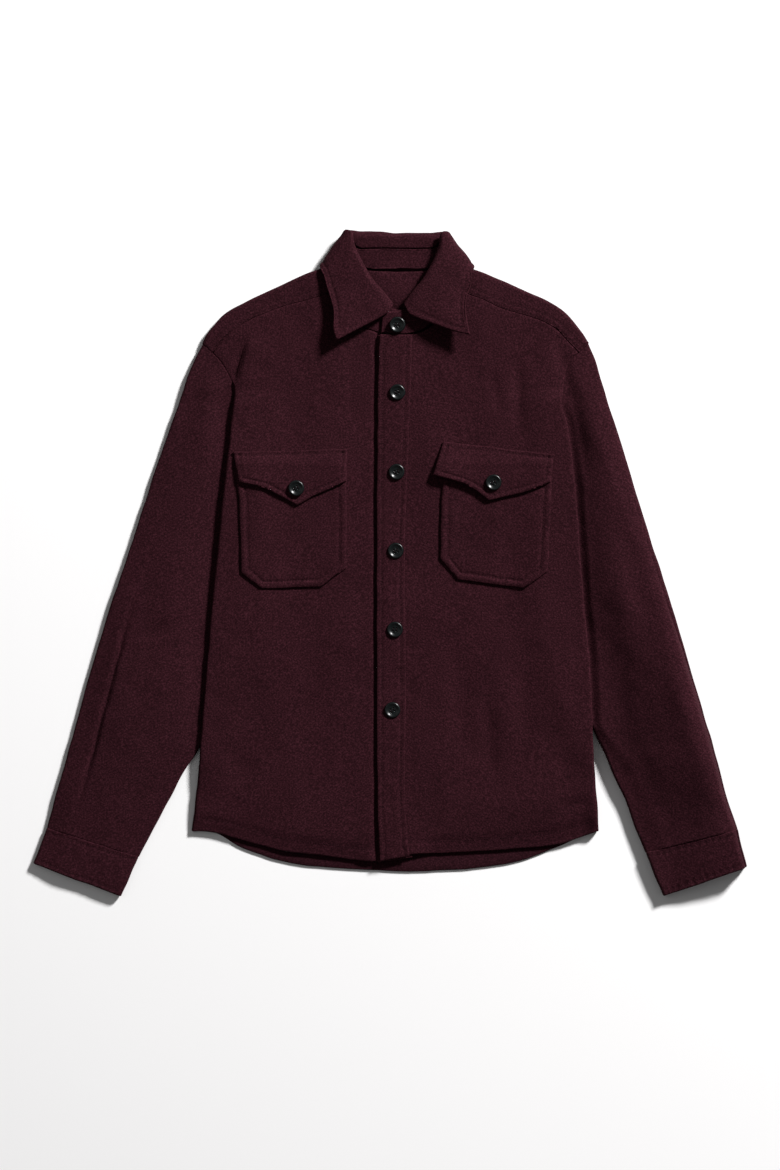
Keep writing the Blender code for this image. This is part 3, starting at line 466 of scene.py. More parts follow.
class Layout:
    """Heights of the layers as they lie on the floor, the same as the solids have, and how the cloth settles.

    A pair of a place and a run says where a change starts and how far it goes.
    """

    front = 6.8
    sleeve_top = 4.2
    sleeve_lift = 3.4
    back_lift = 6.0
    return_high = 7.2
    return_arm = 3.9
    return_least = 5.5
    fold_inset = 4.0
    lift_margin = 16.0
    front_fade = 50.0
    back_fade = 31.0
    armpit = (215.0, 21.0)
    back_climb = (77.0, 50.0)
    floor_near_hem = (-230.0, 50.0)
    neck_x = 7.3
    neck_half = (97.0, 37.0)
    neck_front = (2.4, 321.0, 73.0)
    neck_back = (3.6, 331.0, 39.0)
    dip = 2.1
    dip_under_band = (22.5, 5.5)
    sink = 2.8
    sink_from = {Side.RIGHT: 22.0, Side.LEFT: 30.0}
    sink_above_hem = (26.0, 24.0)
    sink_run = 24.0
    crease_top = (170.6, 272.6)
    crease_slope = 0.2934
    crease_start = (281.0, 22.0)
    crease_stop = (222.0, 24.0)
    crease_depth = 2.7
    crease_width = 28.0
    crease_bank = 1.2
    crease_step = 3.2
    chest = (1.6, 70.0, 110.0)
    chest_inside = (12.0, 30.0)
    pressed = 0.85
    pressed_high = 60.0
    pressed_wide = (232.0, 26.0)
    gape = (0.75, -95.0, 42.0)
    swell = 1.3
    swell_waves = ((1.1, 5, 60.0, 230.0), (0.22, 6, 24.0, 50.0))
    tilt = 4.6
    tilt_from = (10.0, 240.0)
    grip_high = 3.4
    drift = 0.45
    drift_waves = (22.0, 70.0)
    drift_seeds = (11, 12)

    def edge(self, side: Side, y: Array, name: str) -> Array:
        """Outward place of the fold or the seam of a front."""
        rows = EDGE[side]
        return eased(rows["y"][::-1], rows[name][::-1], np.clip(y, rows["y"][-1], rows["y"][0]))

    def arm_out(self, side: Side, y: Array) -> Array:
        """Outward place of the armhole seam, up to the shoulder's tip."""
        tip, rows = SHOULDER_TIP[side], EDGE[side]
        top = rows["seam"][0] + (y - rows["y"][0]) / (tip[1] - rows["y"][0]) * (tip[0] - rows["seam"][0])
        return np.where(y > rows["y"][0], top, self.edge(side, y, "seam"))

    def hidden_line(self, side: Side, y: Array) -> Array:
        """Outward place of the armhole, and below it of the sleeve's inner edge."""
        rows = SLEEVE_INNER[side]
        inner = np.interp(y, rows["y"][::-1], rows["out"][::-1])
        return np.where(y >= rows["y"][0], self.arm_out(side, y), inner)

    def neck_rise(self, x: Array, y: Array, rise: float, start_y: float, fade_y: float) -> Array:
        """Rise of the cloth where the collar lies under it round the neck, fading to 0."""
        across = 1.0 - above(np.abs(x - self.neck_x), *self.neck_half)
        return rise * (across * (1.0 - below(y, start_y, fade_y)))

    def leaving(self, y: Array) -> Array:
        """0 along the sleeve and 1 near the hem, where the body reaches the floor."""
        return below(y, *self.floor_near_hem)

    def front_height(self, side: Side, out: Array, y: Array) -> Array:
        """Middle surface of a front, raised over the sleeve and round the neck, dipped under the band."""
        inwards = self.hidden_line(side, y) - out
        climb = below(y, *self.armpit) * (1.0 - self.leaving(y))
        lift = self.sleeve_lift * climb * (1.0 - above(inwards, self.lift_margin, self.front_fade))
        above_hem = y - height_at(HEM_FRONT[side], out)
        sink = self.sink * below(above_hem, *self.sink_above_hem)
        sink = sink * above(out, self.sink_from[side], self.sink_run)
        dip = 0.0
        if side is Side.RIGHT:
            dip = self.dip * below(out, *self.dip_under_band)
            sink = sink - self.armhole_crease(out, y)
            lift = lift + ridge(y, *self.chest) * climb * (1.0 - above(inwards, *self.chest_inside))
        return self.front + lift + self.neck_rise(side.value * out, y, *self.neck_front) - dip - sink

    def on_front(self, side: Side, plan: Array, space: float) -> Array:
        """Height of a front's face at plan places, and a space over it."""
        return self.front_height(side, plan[..., 0], plan[..., 1]) + CLOTH / 2 + space

    def armhole_crease(self, out: Array, y: Array) -> Array:
        """Rise of the right front beside its armhole: a long slope up to a steep step down, and a low bank."""
        past = out - (self.crease_top[0] + self.crease_slope * (self.crease_top[1] - y))
        run = below(y, *self.crease_start) * (1.0 - below(y, *self.crease_stop))
        step = smooth_step(past / self.crease_step)
        slope = bell(np.minimum(past, 0.0), self.crease_width)
        return run * (self.crease_depth * (1.0 - step) * slope - self.crease_bank * step)

    def back_height(self, x: Array, y: Array) -> Array:
        """Middle surface of the back and of the yoke's lower layer."""
        height = np.full(np.broadcast(x, y).shape, FLOOR_LAYER)
        climb = below(y, *self.back_climb) * (1.0 - self.leaving(y))
        for side in Side:
            inwards = self.hidden_line(side, y) - side.value * x
            height = height + self.back_lift * climb * (1.0 - above(inwards, self.lift_margin, self.back_fade))
        return height + self.neck_rise(x, y, *self.neck_back)

    def return_height(self, y: Array) -> Array:
        """Middle surface of a front's turned-under edge."""
        climb = below(y, *self.armpit)
        return self.return_arm + (self.return_high - self.return_arm) * climb - self.back_lift * self.leaving(y)

    def near_hem(self, x: Array, y: Array) -> Array:
        """1 at the fronts' hem, 0 well above it and at its ends, and less where the hem gapes."""
        hem = np.where(x < 0, height_at(HEM_FRONT[Side.RIGHT], -x), height_at(HEM_FRONT[Side.LEFT], x))
        close = 1.0 - smooth_step((y - hem) / self.pressed_high)
        close = close * (1.0 - above(np.abs(x), *self.pressed_wide))
        return close * (1.0 - ridge(x, *self.gape))

    def settle(self, points: Array) -> Array:
        """Moves every layer at one place together, so that none comes through another.

        The height grows by a swell of long seeded waves and by the large folds, from nothing at the
        floor to all of it a little higher. In plan, points move by about half a millimetre in short waves.
        """
        x, y, z = points[..., 0], points[..., 1], points[..., 2]
        swell = self.swell
        for wave in self.swell_waves:
            swell = swell + uneven(points, *wave)
        for fold in LARGE_FOLDS:
            swell = swell + fold.height(x, y)
        swell = swell + self.tilt * above(x, *self.tilt_from)
        swell = swell * (1.0 - self.pressed * self.near_hem(x, y))
        moved = points.copy()
        for axis, seed in enumerate(self.drift_seeds):
            moved[..., axis] += uneven(points, self.drift, seed, *self.drift_waves)
        moved[..., 2] += np.maximum(swell, 0.0) * above(z, FLOOR_LAYER, self.grip_high)
        return moved


@dataclass(frozen=True)
class SoftFold:
    """Soft ridge, or trough if its rise is negative, along a line that fades at both ends."""

    line: tuple[Pair, ...]
    rise: float
    width: float
    pitch: float = 12.0
    ease: float = 0.35

    def height(self, x: Array, y: Array) -> Array:
        """Rise times a bell across the line, eased in and out along it."""
        line = flowing(self.line, self.pitch)
        distance, run = near_line(points_of(x, y), line)
        length = lengths(line)[-1]
        ends = self.ease * length
        fade = smooth_step(run / ends) * smooth_step((length - run) / ends)
        return self.rise * bell(distance, self.width) * fade


# Creases placed where the photograph shows them, in world millimetres.
LARGE_FOLDS = (
    SoftFold(((-178, 275), (-187, 235), (-198, 195), (-204, 150)), -1.6, 8.0),
    SoftFold(((-212, 250), (-222, 195), (-238, 120)), 1.8, 12.0),
    SoftFold(((198, 298), (206, 268), (212, 240), (220, 205), (231, 150), (238, 90)), -3.0, 9.0),
    SoftFold(((232, 250), (246, 190), (262, 120)), 1.6, 13.0),
    SoftFold(((-41, 285), (-39, 220), (-41, 150)), -1.5, 12.0),
    SoftFold(((-50, -40), (-52, -85), (-54, -130)), 1.4, 20.0),
    SoftFold(((154, 262), (157, 205), (155, 152)), -1.8, 8.0),
    SoftFold(((124, 240), (129, 205), (133, 176)), -1.4, 7.0),
    SoftFold(((79, -92), (86, -170), (90, -252)), -1.6, 11.0),
    SoftFold(((118, -150), (121, -210), (124, -275)), -1.6, 9.0),
    SoftFold(((140, -130), (144, -190), (147, -250)), 1.2, 12.0),
    SoftFold(((162, -130), (165, -180), (168, -232)), -1.2, 10.0),
    SoftFold(((203, -297), (225, -294), (248, -292)), -1.5, 6.0),
    SoftFold(((-215, -214), (-190, -240), (-160, -270)), -1.5, 14.0),
    SoftFold(((-222, -262), (-190, -300), (-150, -330)), -0.9, 13.0),
    SoftFold(((283, -262), (300, -240), (330, -225)), 1.2, 9.0),
)


@dataclass(frozen=True)
class StitchLine:
    """Row of topstitching along a plan line: a groove in the cloth, with small puckers beside it."""

    line: Array
    depth: float = 0.55
    width: float = 1.5
    pucker: float = 0.22
    pucker_mm: float = 8.5
    ripple_width: float = 5.0
    seed: int = 1

    def relief(self, points: Array) -> Array:
        """Groove of a bell shape and ripples across the row that fade 5 mm from it."""
        distance, run = near_line(points[..., :2], self.line)
        phase = 2 * math.pi * run / self.pucker_mm + 1.8 * waves(run, run * 0, self.seed, 20.0, 60.0)
        ripple = self.pucker * np.sin(phase) * bell(distance, self.ripple_width)
        return ripple - self.depth * bell(distance, self.width)


@dataclass
class Cloth:
    """Sheet of cloth as a grid of points on its middle surface, given a wall with rounded edges."""

    points: Array
    thickness: float
    tube: bool = False
    cells: Array | None = None
    rim_steps: int = 3

    def quads(self) -> Array:
        """Cells of the grid as four point numbers each."""
        rows, columns = self.points.shape[:2]
        cells = ring_cells(np.arange(rows * columns).reshape(rows, columns))
        if not self.tube:
            cells = cells[:, :-1]
        return (cells if self.cells is None else cells[self.cells]).reshape(-1, 4)

    def weave(self) -> Array:
        """Length of cloth across from the first column and down the middle one, for the twill."""
        if self.cells is not None:
            return self.points[..., :2].copy()
        across = lengths(self.points.swapaxes(0, 1)).swapaxes(0, 1)
        down = lengths(self.points[:, self.points.shape[1] // 2])
        return np.stack([across, np.broadcast_to(down[:, None], across.shape)], axis=-1)

    def normals(self, points: Array, quads: Array) -> Array:
        """Normals at points, each the sum of the crossed diagonals of its cells."""
        corners = points[quads]
        crosses = np.cross(corners[:, 2] - corners[:, 0], corners[:, 3] - corners[:, 1])
        total = np.zeros_like(points)
        for corner in range(4):
            np.add.at(total, quads[:, corner], crosses)
        size = np.linalg.norm(total, axis=1, keepdims=True)
        return total / np.where(size > 0, size, 1.0)

    def solid(self) -> tuple[Array, Array, Array]:
        """Closed wall: both faces half a thickness from the middle, joined by a half-round rim.

        A rim point is e + h (cos a * o + sin a * n), with e half a thickness inside the edge, h half
        the thickness, o the outward way in the cloth, n its normal and a from 90 to -90 degrees.

        Returns:
            Points in millimetres, cells and the map of the twill.
        """
        used, quads = np.unique(self.quads(), return_inverse=True)
        quads = quads.reshape(-1, 4)
        points, weave = self.points.reshape(-1, 3)[used], self.weave().reshape(-1, 2)[used]
        count, half = len(points), self.thickness / 2
        normal = self.normals(points, quads)
        edges = quads[:, [0, 1, 1, 2, 2, 3, 3, 0]].reshape(-1, 2)
        outer = edges[~np.isin(edges[:, 1] * count + edges[:, 0], edges[:, 0] * count + edges[:, 1])]
        step, map_step = points[outer[:, 1]] - points[outer[:, 0]], weave[outer[:, 1]] - weave[outer[:, 0]]
        away, map_away = np.zeros_like(points), np.zeros_like(weave)
        for corner in range(2):
            np.add.at(away, outer[:, corner], np.cross(step, normal[outer[:, corner]]))
            np.add.at(map_away, outer[:, corner], np.stack([map_step[:, 1], -map_step[:, 0]], axis=-1))
        for vector in (away, map_away):
            vector /= np.maximum(np.linalg.norm(vector, axis=1, keepdims=True), 1e-9)
        rim = np.unique(outer)
        place = np.full(count, -1)
        place[rim] = np.arange(len(rim))
        middle = points.copy()
        middle[rim] -= away[rim] * half
        parts, maps = [middle + normal * half, middle - normal * half], [weave, weave.copy()]
        starts = [outer]
        for angle in np.linspace(math.pi / 2, -math.pi / 2, self.rim_steps + 2)[1:-1]:
            starts.append(place[outer] + sum(len(part) for part in parts))
            parts.append(middle[rim] + half * (math.cos(angle) * away[rim] + math.sin(angle) * normal[rim]))
            maps.append(weave[rim] + half * (math.pi / 2 - angle) * map_away[rim])
        starts.append(outer + count)
        strips = [np.stack([a[:, 1], a[:, 0], b[:, 0], b[:, 1]], axis=-1) for a, b in zip(starts, starts[1:])]
        cells = np.concatenate([quads, quads[:, ::-1] + count] + strips)
        return np.concatenate(parts), cells, np.concatenate(maps)


def make_mesh(name: str, points: Array, quads: Array, finish: Material,
              weave: Array | None = None, wrap: float = 0.0) -> Object:
    """Object at the origin from points in millimetres, with its faces turned outwards.

    Args:
        name: Name of the piece.
        points: Places of its points.
        quads: Cells as four point numbers each.
        finish: Material of the piece.
        weave: Map of the twill in millimetres, one place for each point.
        wrap: Length round a tube, where the map starts again.

    Returns:
        The object, in metres.
    """
    corners = points[quads]
    volume = (corners[:, 0] * (np.cross(corners[:, 1], corners[:, 2])
                               + np.cross(corners[:, 2], corners[:, 3]))).sum()
    quads = quads[:, ::-1] if volume < 0 else quads
    mesh = bpy.data.meshes.new(name)
    mesh.from_pydata((points * MM).tolist(), [], quads.tolist())
    if weave is not None:
        place = weave[quads]
        if wrap:
            torn = place[..., 0].max(axis=1) - place[..., 0].min(axis=1) > wrap / 2
            low = torn[:, None] & (place[..., 0] < wrap / 2)
            place[..., 0] = np.where(low, place[..., 0] + wrap, place[..., 0])
        layer = mesh.uv_layers.new(name="weave")
        layer.data.foreach_set("uv", (place * MM).ravel())
    mesh.shade_smooth()
    mesh.materials.append(finish)
    obj = bpy.data.objects.new(name, mesh)
    bpy.context.scene.collection.objects.link(obj)
    return obj


@dataclass
class Sewn:
    """Pieces cut from the wool, in the layers where they lie."""

    layout: Layout
    wool: Material

    def sew(self, name: str, cloth: Cloth, node: str, flat: Pair, rests_on: str | None = None,
            area: float | None = None, inside: Material | None = None) -> Object:
        """Makes a piece of cloth from its grid, in the place of its node.

        Args:
            name: Name of the piece.
            cloth: Its grid and thickness.
            node: The node that it stands for.
            flat: Width and length of its cut, in metres; not used.
            rests_on: The piece that it lies on, if not on the floor alone; not used.
            area: Flat area of the cut in square metres, where it isn't a rectangle; not used.
            inside: Finish of the wool's inner face, where that shows instead.

        Returns:
            The finished object.
        """
        cloth.points = self.layout.settle(cloth.points)
        points, quads, weave = cloth.solid()
        wrap = float(weave[:, 0].max()) if cloth.tube else 0.0
        obj = make_mesh(name, points, quads, inside or self.wool, weave, wrap)
        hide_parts(node)
        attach(obj, "root")
        log.info("%s: %d faces, %.4f square metres of cloth", name, len(quads),
                 sum(face.area for face in obj.data.polygons) / 2)
        return obj


def fold_arc(edge: Array, inward: Array, top: Array, low: Array, thickness: float, steps: int = 9) -> Array:
    """Half round from an upper layer to a lower one, its outside on the edge.

    A point is c - w r sin a in plan and m + r cos a in height, with w the inward way, r half the
    distance between the layers, m their mean height, c = edge + w (r + thickness / 2), a from 0 to pi.
    """
    angle = np.linspace(0.0, math.pi, steps)
    radius = (top - low) / 2
    centre = edge + inward * (radius + thickness / 2)[..., None]
    place = centre[..., None, :] - (inward * radius[..., None])[..., None, :] * np.sin(angle)[:, None]
    height = ((top + low) / 2)[..., None] + radius[..., None] * np.cos(angle)
    return np.concatenate([place, height[..., None]], axis=-1)


def inward_ways(path: Array) -> Array:
    """Unit normals of a plan path, pointing to the middle of the garment."""
    tangents = np.gradient(path, axis=0)
    normals = unit(points_of(tangents[:, 1], -tangents[:, 0]))
    return np.where(normals[:, :1] > 0, -normals, normals)


def patch(left: Array, right: Array, top: Array, bottom: Array) -> Array:
    """Coons patch in plan: the two ruled surfaces of opposite borders, less the one of the corners."""
    t = lengths(left)[:, None, None] / lengths(left)[-1]
    s = np.concatenate([[0.0], np.cumsum(np.abs(np.diff(top[:, 0])))])
    s = (s / s[-1])[None, :, None]
    corners = ((1 - s) * (1 - t) * top[0] + s * (1 - t) * top[-1]
               + (1 - s) * t * bottom[0] + s * t * bottom[-1])
    return (1 - s) * left[:, None] + s * right[:, None] + (1 - t) * top[None] + t * bottom[None] - corners


def between(start: Array, end: Array, shares: Array) -> Array:
    """Points between matching points of two lines."""
    return start[:, None] + shares[None, :, None] * (end - start)[:, None]


def with_height(grid: Array, height: Array) -> Array:
    """Plan grid with its heights as a third coordinate."""
    return points_of(grid[..., 0], grid[..., 1], height)


@dataclass
class Body(Sewn):
    """Fronts, back and back yoke."""

    inside: Material
    pitch: float = 3.0
    back_pitch: float = 5.0
    back_columns: int = 110
    hem_depth: float = 14.6
    hem_rise: float = 0.35
    yoke_rows: Pair = (2.6, 8.8)
    yoke_y: float = 248.0
    yoke_steps: int = 56
    strap_rows: tuple[int, int] = (33, 17)
    yoke_neck: tuple[Pair, ...] = ((-75, 356), (-34, 356.3), (7, 354.5), (49, 356.3), (90, 356))
    armpit_y: float = 9.0
    armhole_row: float = 7.5
    armhole_run: Pair = (254, 196)
    eased_columns: float = 5.0
    centre_edge: dict[Side, float] = each_side(-27.0, -15.0)
    front_flat: Pair = (0.30, 0.69)
    back_flat: Pair = (0.49, 0.63)
    yoke_flat: Pair = (0.50, 0.24)
    yoke_area: float = 0.052

    def hem_row(self, side: Side) -> Array:
        """Topstitching of a front's hem."""
        return mirrored(offset_line(flowing(HEM_FRONT[side]), self.hem_depth), side)

    def armhole_stitches(self, side: Side) -> Array:
        """Topstitching beside the armhole seam, on the front."""
        y = np.linspace(*self.armhole_run, 16)
        line = points_of(self.layout.arm_out(side, y), y)
        return mirrored(line + inward_ways(line) * self.armhole_row, side)

    def yoke_stitches(self, side: Side) -> list[Array]:
        """The two rows above a front yoke seam."""
        seam = flowing(YOKE_SEAM[side])
        return [mirrored(offset_line(seam[::-1], distance), side) for distance in self.yoke_rows]

    def front_relief(self, side: Side, world: Array) -> Array:
        """Hem, thicker below its groove, and the groove beside the armhole."""
        relief = StitchLine(self.hem_row(side), depth=0.7, pucker=0.3, seed=3).relief(world)
        distance, _ = near_line(world, mirrored(flowing(HEM_FRONT[side]), side))
        relief += self.hem_rise * below(distance, self.hem_depth, 3.0)
        return relief + StitchLine(self.armhole_stitches(side), depth=0.4, width=1.8, pucker=0.35,
                                   seed=4).relief(world)

    def front_grid(self, side: Side) -> Array:
        """Middle surface of a front: turned-under edge, half-round fold, then the panel to its front edge."""
        layout = self.layout
        y = spread(EDGE[side]["y"], self.pitch)
        fold = points_of(layout.edge(side, y, "fold"), y)
        fold[0] += (fold[1] - fold[0]) * SEAM / self.pitch
        inward = inward_ways(fold)
        low = layout.return_height(y)
        arc = fold_arc(fold, inward, layout.front_height(side, fold[:, 0] - layout.fold_inset, y), low, CLOTH)
        seam = layout.edge(side, y, "seam") + SEAM / 2
        end = points_of(np.minimum(seam, fold[:, 0] - layout.return_least), y)
        end[0] = fold[0] + inward[0] * layout.return_least
        turned = with_height(between(end, arc[:, -1, :2], np.array([0.0, 0.5])), points_of(low, low))
        line = np.concatenate([flowing(YOKE_SEAM[side]), flowing(NECK_SEAM[side])[1:]])
        start, stop = arc[0, 0, 0], self.centre_edge[side]
        out = np.linspace(start, stop, int(abs(start - stop) / self.pitch))
        top = points_of(out, height_at(line[::-1], out) + SEAM)
        top[0] = arc[0, 0, :2]
        hem_out = np.linspace(arc[-1, 0, 0], stop, len(out))
        hem = points_of(hem_out, height_at(flowing(HEM_FRONT[side]), hem_out))
        hem[0] = arc[-1, 0, :2]
        run = (y[0] - y) / (y[0] - y[-1])
        middle = points_of(stop, top[-1, 1] + run * (hem[-1, 1] - top[-1, 1]))
        panel = patch(arc[:, 0, :2], middle, top, hem)
        height = layout.front_height(side, panel[..., 0], panel[..., 1])
        height[:, 0] = arc[:, 0, 2]
        fade = smooth_step(np.arange(len(out)) / self.eased_columns)
        panel = with_height(panel, height + self.front_relief(side, mirrored(panel, side)) * fade)
        return placed(np.concatenate([turned, arc[:, ::-1], panel[:, 1:]], axis=1), side)

    def back_grid(self) -> Array:
        """Middle surface of the back below the yoke."""
        y = spread(np.array([self.yoke_y - SEAM / 2, self.armpit_y, EDGE[Side.LEFT]["y"][-1]]), self.back_pitch)
        edges = {}
        for side in Side:
            out = np.where(y >= self.armpit_y, self.layout.arm_out(side, y), self.layout.edge(side, y, "seam"))
            edges[side] = points_of(side.value * (out - SEAM / 2), y)
        left, right = edges[Side.RIGHT], edges[Side.LEFT]
        shares = np.linspace(0.0, 1.0, self.back_columns)
        top = left[0] + shares[:, None] * (right[0] - left[0])
        hem_x = left[-1, 0] + shares * (right[-1, 0] - left[-1, 0])
        hem = points_of(hem_x, height_at(flowing(HEM_BACK), hem_x))
        left[-1], right[-1] = hem[0], hem[-1]
        grid = patch(left, right, top, hem)
        return with_height(grid, self.layout.back_height(grid[..., 0], grid[..., 1]))

    def yoke_half(self, side: Side) -> Array:
        """Columns of the yoke over one shoulder, from the armhole to the neck."""
        layout = self.layout
        steps = np.linspace(0.0, 1.0, self.yoke_steps)
        fold = along(flowing(SHOULDER[side]), steps)
        front = along(flowing(YOKE_SEAM[side]), steps)
        front[:, 1] += SEAM / 2
        start = layout.arm_out(side, np.array(self.yoke_y))
        back = points_of(start + steps * (SHOULDER[side][-1][0] - start), self.yoke_y + SEAM / 2)
        inward = inward_ways(fold)
        inward[0] = unit(front[0] - fold[0])
        for line in (fold, front, back):
            line[0, 0] += SEAM
        top = layout.front_height(side, fold[:, 0], fold[:, 1] - layout.fold_inset)
        low = layout.back_height(side.value * fold[:, 0], fold[:, 1] - layout.fold_inset)
        arc = fold_arc(fold, inward, top, low, CLOTH)[:, ::-1]
        lower = between(back, arc[:, 0, :2], np.linspace(0, 1, self.strap_rows[0])[:-1])
        upper = between(arc[:, -1, :2], front, np.linspace(0, 1, self.strap_rows[1])[1:])
        lower = with_height(lower, layout.back_height(side.value * lower[..., 0], lower[..., 1]))
        relief = sum(StitchLine(line, depth=0.45, seed=6).relief(mirrored(upper, side))
                     for line in self.yoke_stitches(side))
        relief = relief * smooth_step(np.arange(1, self.strap_rows[1]) / self.eased_columns)
        upper = with_height(upper, layout.front_height(side, upper[..., 0], upper[..., 1]) + relief)
        return placed(np.concatenate([lower, arc, upper], axis=1), side)

    def yoke_grid(self) -> tuple[Array, Array]:
        """Middle surface of the yoke and its two straps, with the cells that it has."""
        right, left = self.yoke_half(Side.RIGHT), self.yoke_half(Side.LEFT)[::-1]
        rows = self.strap_rows[0]
        across = np.linspace(right[-1, 0, 0], left[0, 0, 0], self.yoke_steps)[1:-1]
        start = points_of(across, right[0, 0, 1])
        plan = between(start, points_of(across, height_at(self.yoke_neck, across)), np.linspace(0, 1, rows))
        middle = np.zeros((len(across), right.shape[1], 3))
        middle[:, :rows] = with_height(plan, self.layout.back_height(plan[..., 0], plan[..., 1]))
        grid = np.concatenate([right, middle, left]).transpose(1, 0, 2)
        cells = np.ones((grid.shape[0] - 1, grid.shape[1] - 1), bool)
        cells[rows - 1:, len(right) - 1:len(right) + len(across)] = False
        return grid, cells

    def build(self) -> dict[str, Object]:
        """Makes back, yoke and fronts."""
        made = {"back": self.sew("back_panel", Cloth(self.back_grid(), CLOTH), "back", self.back_flat,
                                 inside=self.inside)}
        grid, cells = self.yoke_grid()
        made["yoke"] = self.sew("yoke_panel", Cloth(grid, CLOTH, cells=cells), "back_yoke", self.yoke_flat,
                                "back_panel", self.yoke_area)
        for side in Side:
            front = "front_" + side.word
            made[front] = self.sew("front_panel_" + side.word, Cloth(self.front_grid(side), CLOTH), front,
                                   self.front_flat, "back_panel")
        return made


@dataclass
class Sleeves(Sewn):
    """Sleeves and cuffs, which lie beside the body and under its edges.

    A dome is its rise, the share of the width at its crest, the share in which it falls and how
    straight that fall is. Shares run from the outer edge.
    """

    cloth: float = 2.0
    columns: int = 92
    cuff_columns: int = 62
    cuff_rings: int = 27
    fades: float = 0.05
    pitch: float = 3.0
    loft: dict[Side, float] = each_side(2.2, 3.4)
    loft_from: dict[Side, float] = each_side(30.0, 10.0)
    loft_run: float = 30.0
    loft_clear: float = 1.5
    loft_low: Pair = (-190.0, 60.0)
    head_rise: float = 1.2
    head: Pair = (194.0, 21.0)
    edge_run: float = 24.0
    crease_run: float = 8.0
    dome_clear: Pair = (1.0, 58.0)
    dome_low: Pair = (40.0, 200.0)
    crest_moves: float = 110.0
    near_cuff: Pair = (-240.0, 95.0)
    edge_from: Pair = (245.0, 110.0)
    edge_to: Pair = (-20.0, 130.0)
    edge_clear: Pair = (1.0, 50.0)
    cuff: float = 3.0
    cuff_radius: float = 1.9
    cuff_row: float = 5.5
    cuff_dome: dict[Side, Dome] = each_side(
        (1.2, 0.5, 0.5, 0.0), (10.0, 0.07, 0.84, 0.5))
    sleeve_flat: Pair = (0.46, 0.62)
    sleeve_area: dict[Side, float] = each_side(0.158, 0.142)
    cuff_flat: Pair = (0.255, 0.052)
    stations: dict[Side, Table] = each_side(
        table("out_o y_o out_i y_i curve", (229, 268, 179, 9, 1), (240, 246, 179, 2, 0.86),
            (249, 222, 179, -9, 0.7), (259, 192, 179, -23, 0.52), (272, 155, 179, -41, 0.35),
            (287, 112, 181, -63, 0.2), (301, 68, 185, -89, 0.1), (315, 24, 190, -116, 0.03),
            (330, -20, 197, -143, 0), (345, -64, 206, -170, 0), (358, -108, 218, -198, 0),
            (371, -152, 233, -227, 0), (383, -196, 252, -256, 0), (395, -240, 269, -288, 0),
            (408, -284, 287, -322, 0), (418.4, -323.4, 306.4, -358.4, 0)),
        table("out_o y_o out_i y_i curve", (242, 268, 199, 9, 1), (251, 246, 199, 2, 0.86),
            (258, 222, 199, -9, 0.7), (267, 192, 200, -23, 0.52), (279, 155, 201, -41, 0.35),
            (292, 112, 204, -63, 0.2), (305, 68, 209, -89, 0.1), (319, 24, 216, -116, 0.03),
            (333, -20, 224, -143, 0), (347, -64, 234, -170, 0), (360, -108, 245, -198, 0),
            (373, -152, 259, -227, 0), (386, -196, 271, -256, 0), (399, -240, 286, -288, 0),
            (410, -284, 298, -321, 0), (423.4, -324.4, 311.4, -353.4, 0)))
    cuff_ends: dict[Side, Table] = each_side(
        table("out_o y_o out_i y_i", (418.3, -322.6, 306.4, -357.5), (426.5, -345, 317, -382),
            (435, -366.5, 328, -406.4)),
        table("out_o y_o out_i y_i", (423.3, -323.6, 311.5, -352.6), (429, -346.5, 322, -380),
            (435, -370, 333, -406.4)))
    creases: dict[Side, tuple[SoftFold, ...]] = each_side(
        (SoftFold(((-306, -20), (-325, -90), (-345, -165), (-367, -250), (-388, -322)), -3.4, 3.3),
         SoftFold(((-312, -40), (-334, -130), (-357, -220), (-378, -300)), 0.9, 9.0),
         SoftFold(((-296, -60), (-318, -150), (-342, -240)), 1.0, 12.0),
         SoftFold(((-322, -98), (-285, -84), (-236, -60)), -1.3, 8.0)),
        (SoftFold(((350, -100), (372, -175), (392, -240), (410, -312)), -2.0, 6.0),
         SoftFold(((330, -90), (352, -170), (372, -250)), 1.2, 10.0),
         SoftFold(((262, 100), (290, 0), (330, -120)), -1.5, 16.0)))
    domes: dict[Side, Dome] = each_side(
        (4.0, 0.5, 0.5, 0.0), (19.5, 0.3, 0.82, 0.35))
    low_crest: dict[Side, float] = each_side(0.5, 0.07)
    kept_above: dict[Side, float] = each_side(0.6, 0.05)
    edge_rise: dict[Side, float] = each_side(0.0, 8.0)
    kept_at_cuff: dict[Side, float] = each_side(0.1, 0.45)

    @staticmethod
    def hump(shares: Array, crest: Array | float, fall: float, ridge: float) -> Array:
        """Smooth rise from 0 to 1 at the crest, then a fall to 0 that is straight by the ridge's share."""
        beyond = np.clip((shares - crest) / fall, 0.0, 1.0)
        return smooth_step(shares / crest) * (1.0 - ridge * beyond - (1.0 - ridge) * smooth_step(beyond))

    def tube(self, outer: Array, inner: Array, curve: Array, bulge: Callable[[Array], Array],
             top_of: Callable[[Array, Array], Array], thickness: float, columns: int) -> Array:
        """Flattened tube as closed rings: half-round fold, upper layer, fold, lower layer.

        Args:
            outer: Plan places of the outer edge, one for each ring.
            inner: Plan places of the inner edge.
            curve: Share of the armhole's bend that each ring has.
            bulge: Function of shares that gives the outward bend of each ring.
            top_of: Function of plan places and shares that gives the upper layer's height.
            thickness: Thickness of the cloth, whose lower layer lies on the floor.
            columns: Points across the upper layer.

        Returns:
            Rings of points of the middle surface.
        """
        rings, low = len(outer), thickness / 2
        width = np.linalg.norm(inner - outer, axis=1)

        def place(shares: Array) -> Array:
            """Plan places at shares of each ring."""
            points = outer[:, None] + shares[..., None] * (inner - outer)[:, None]
            points[..., 0] += bulge(shares)
            return points

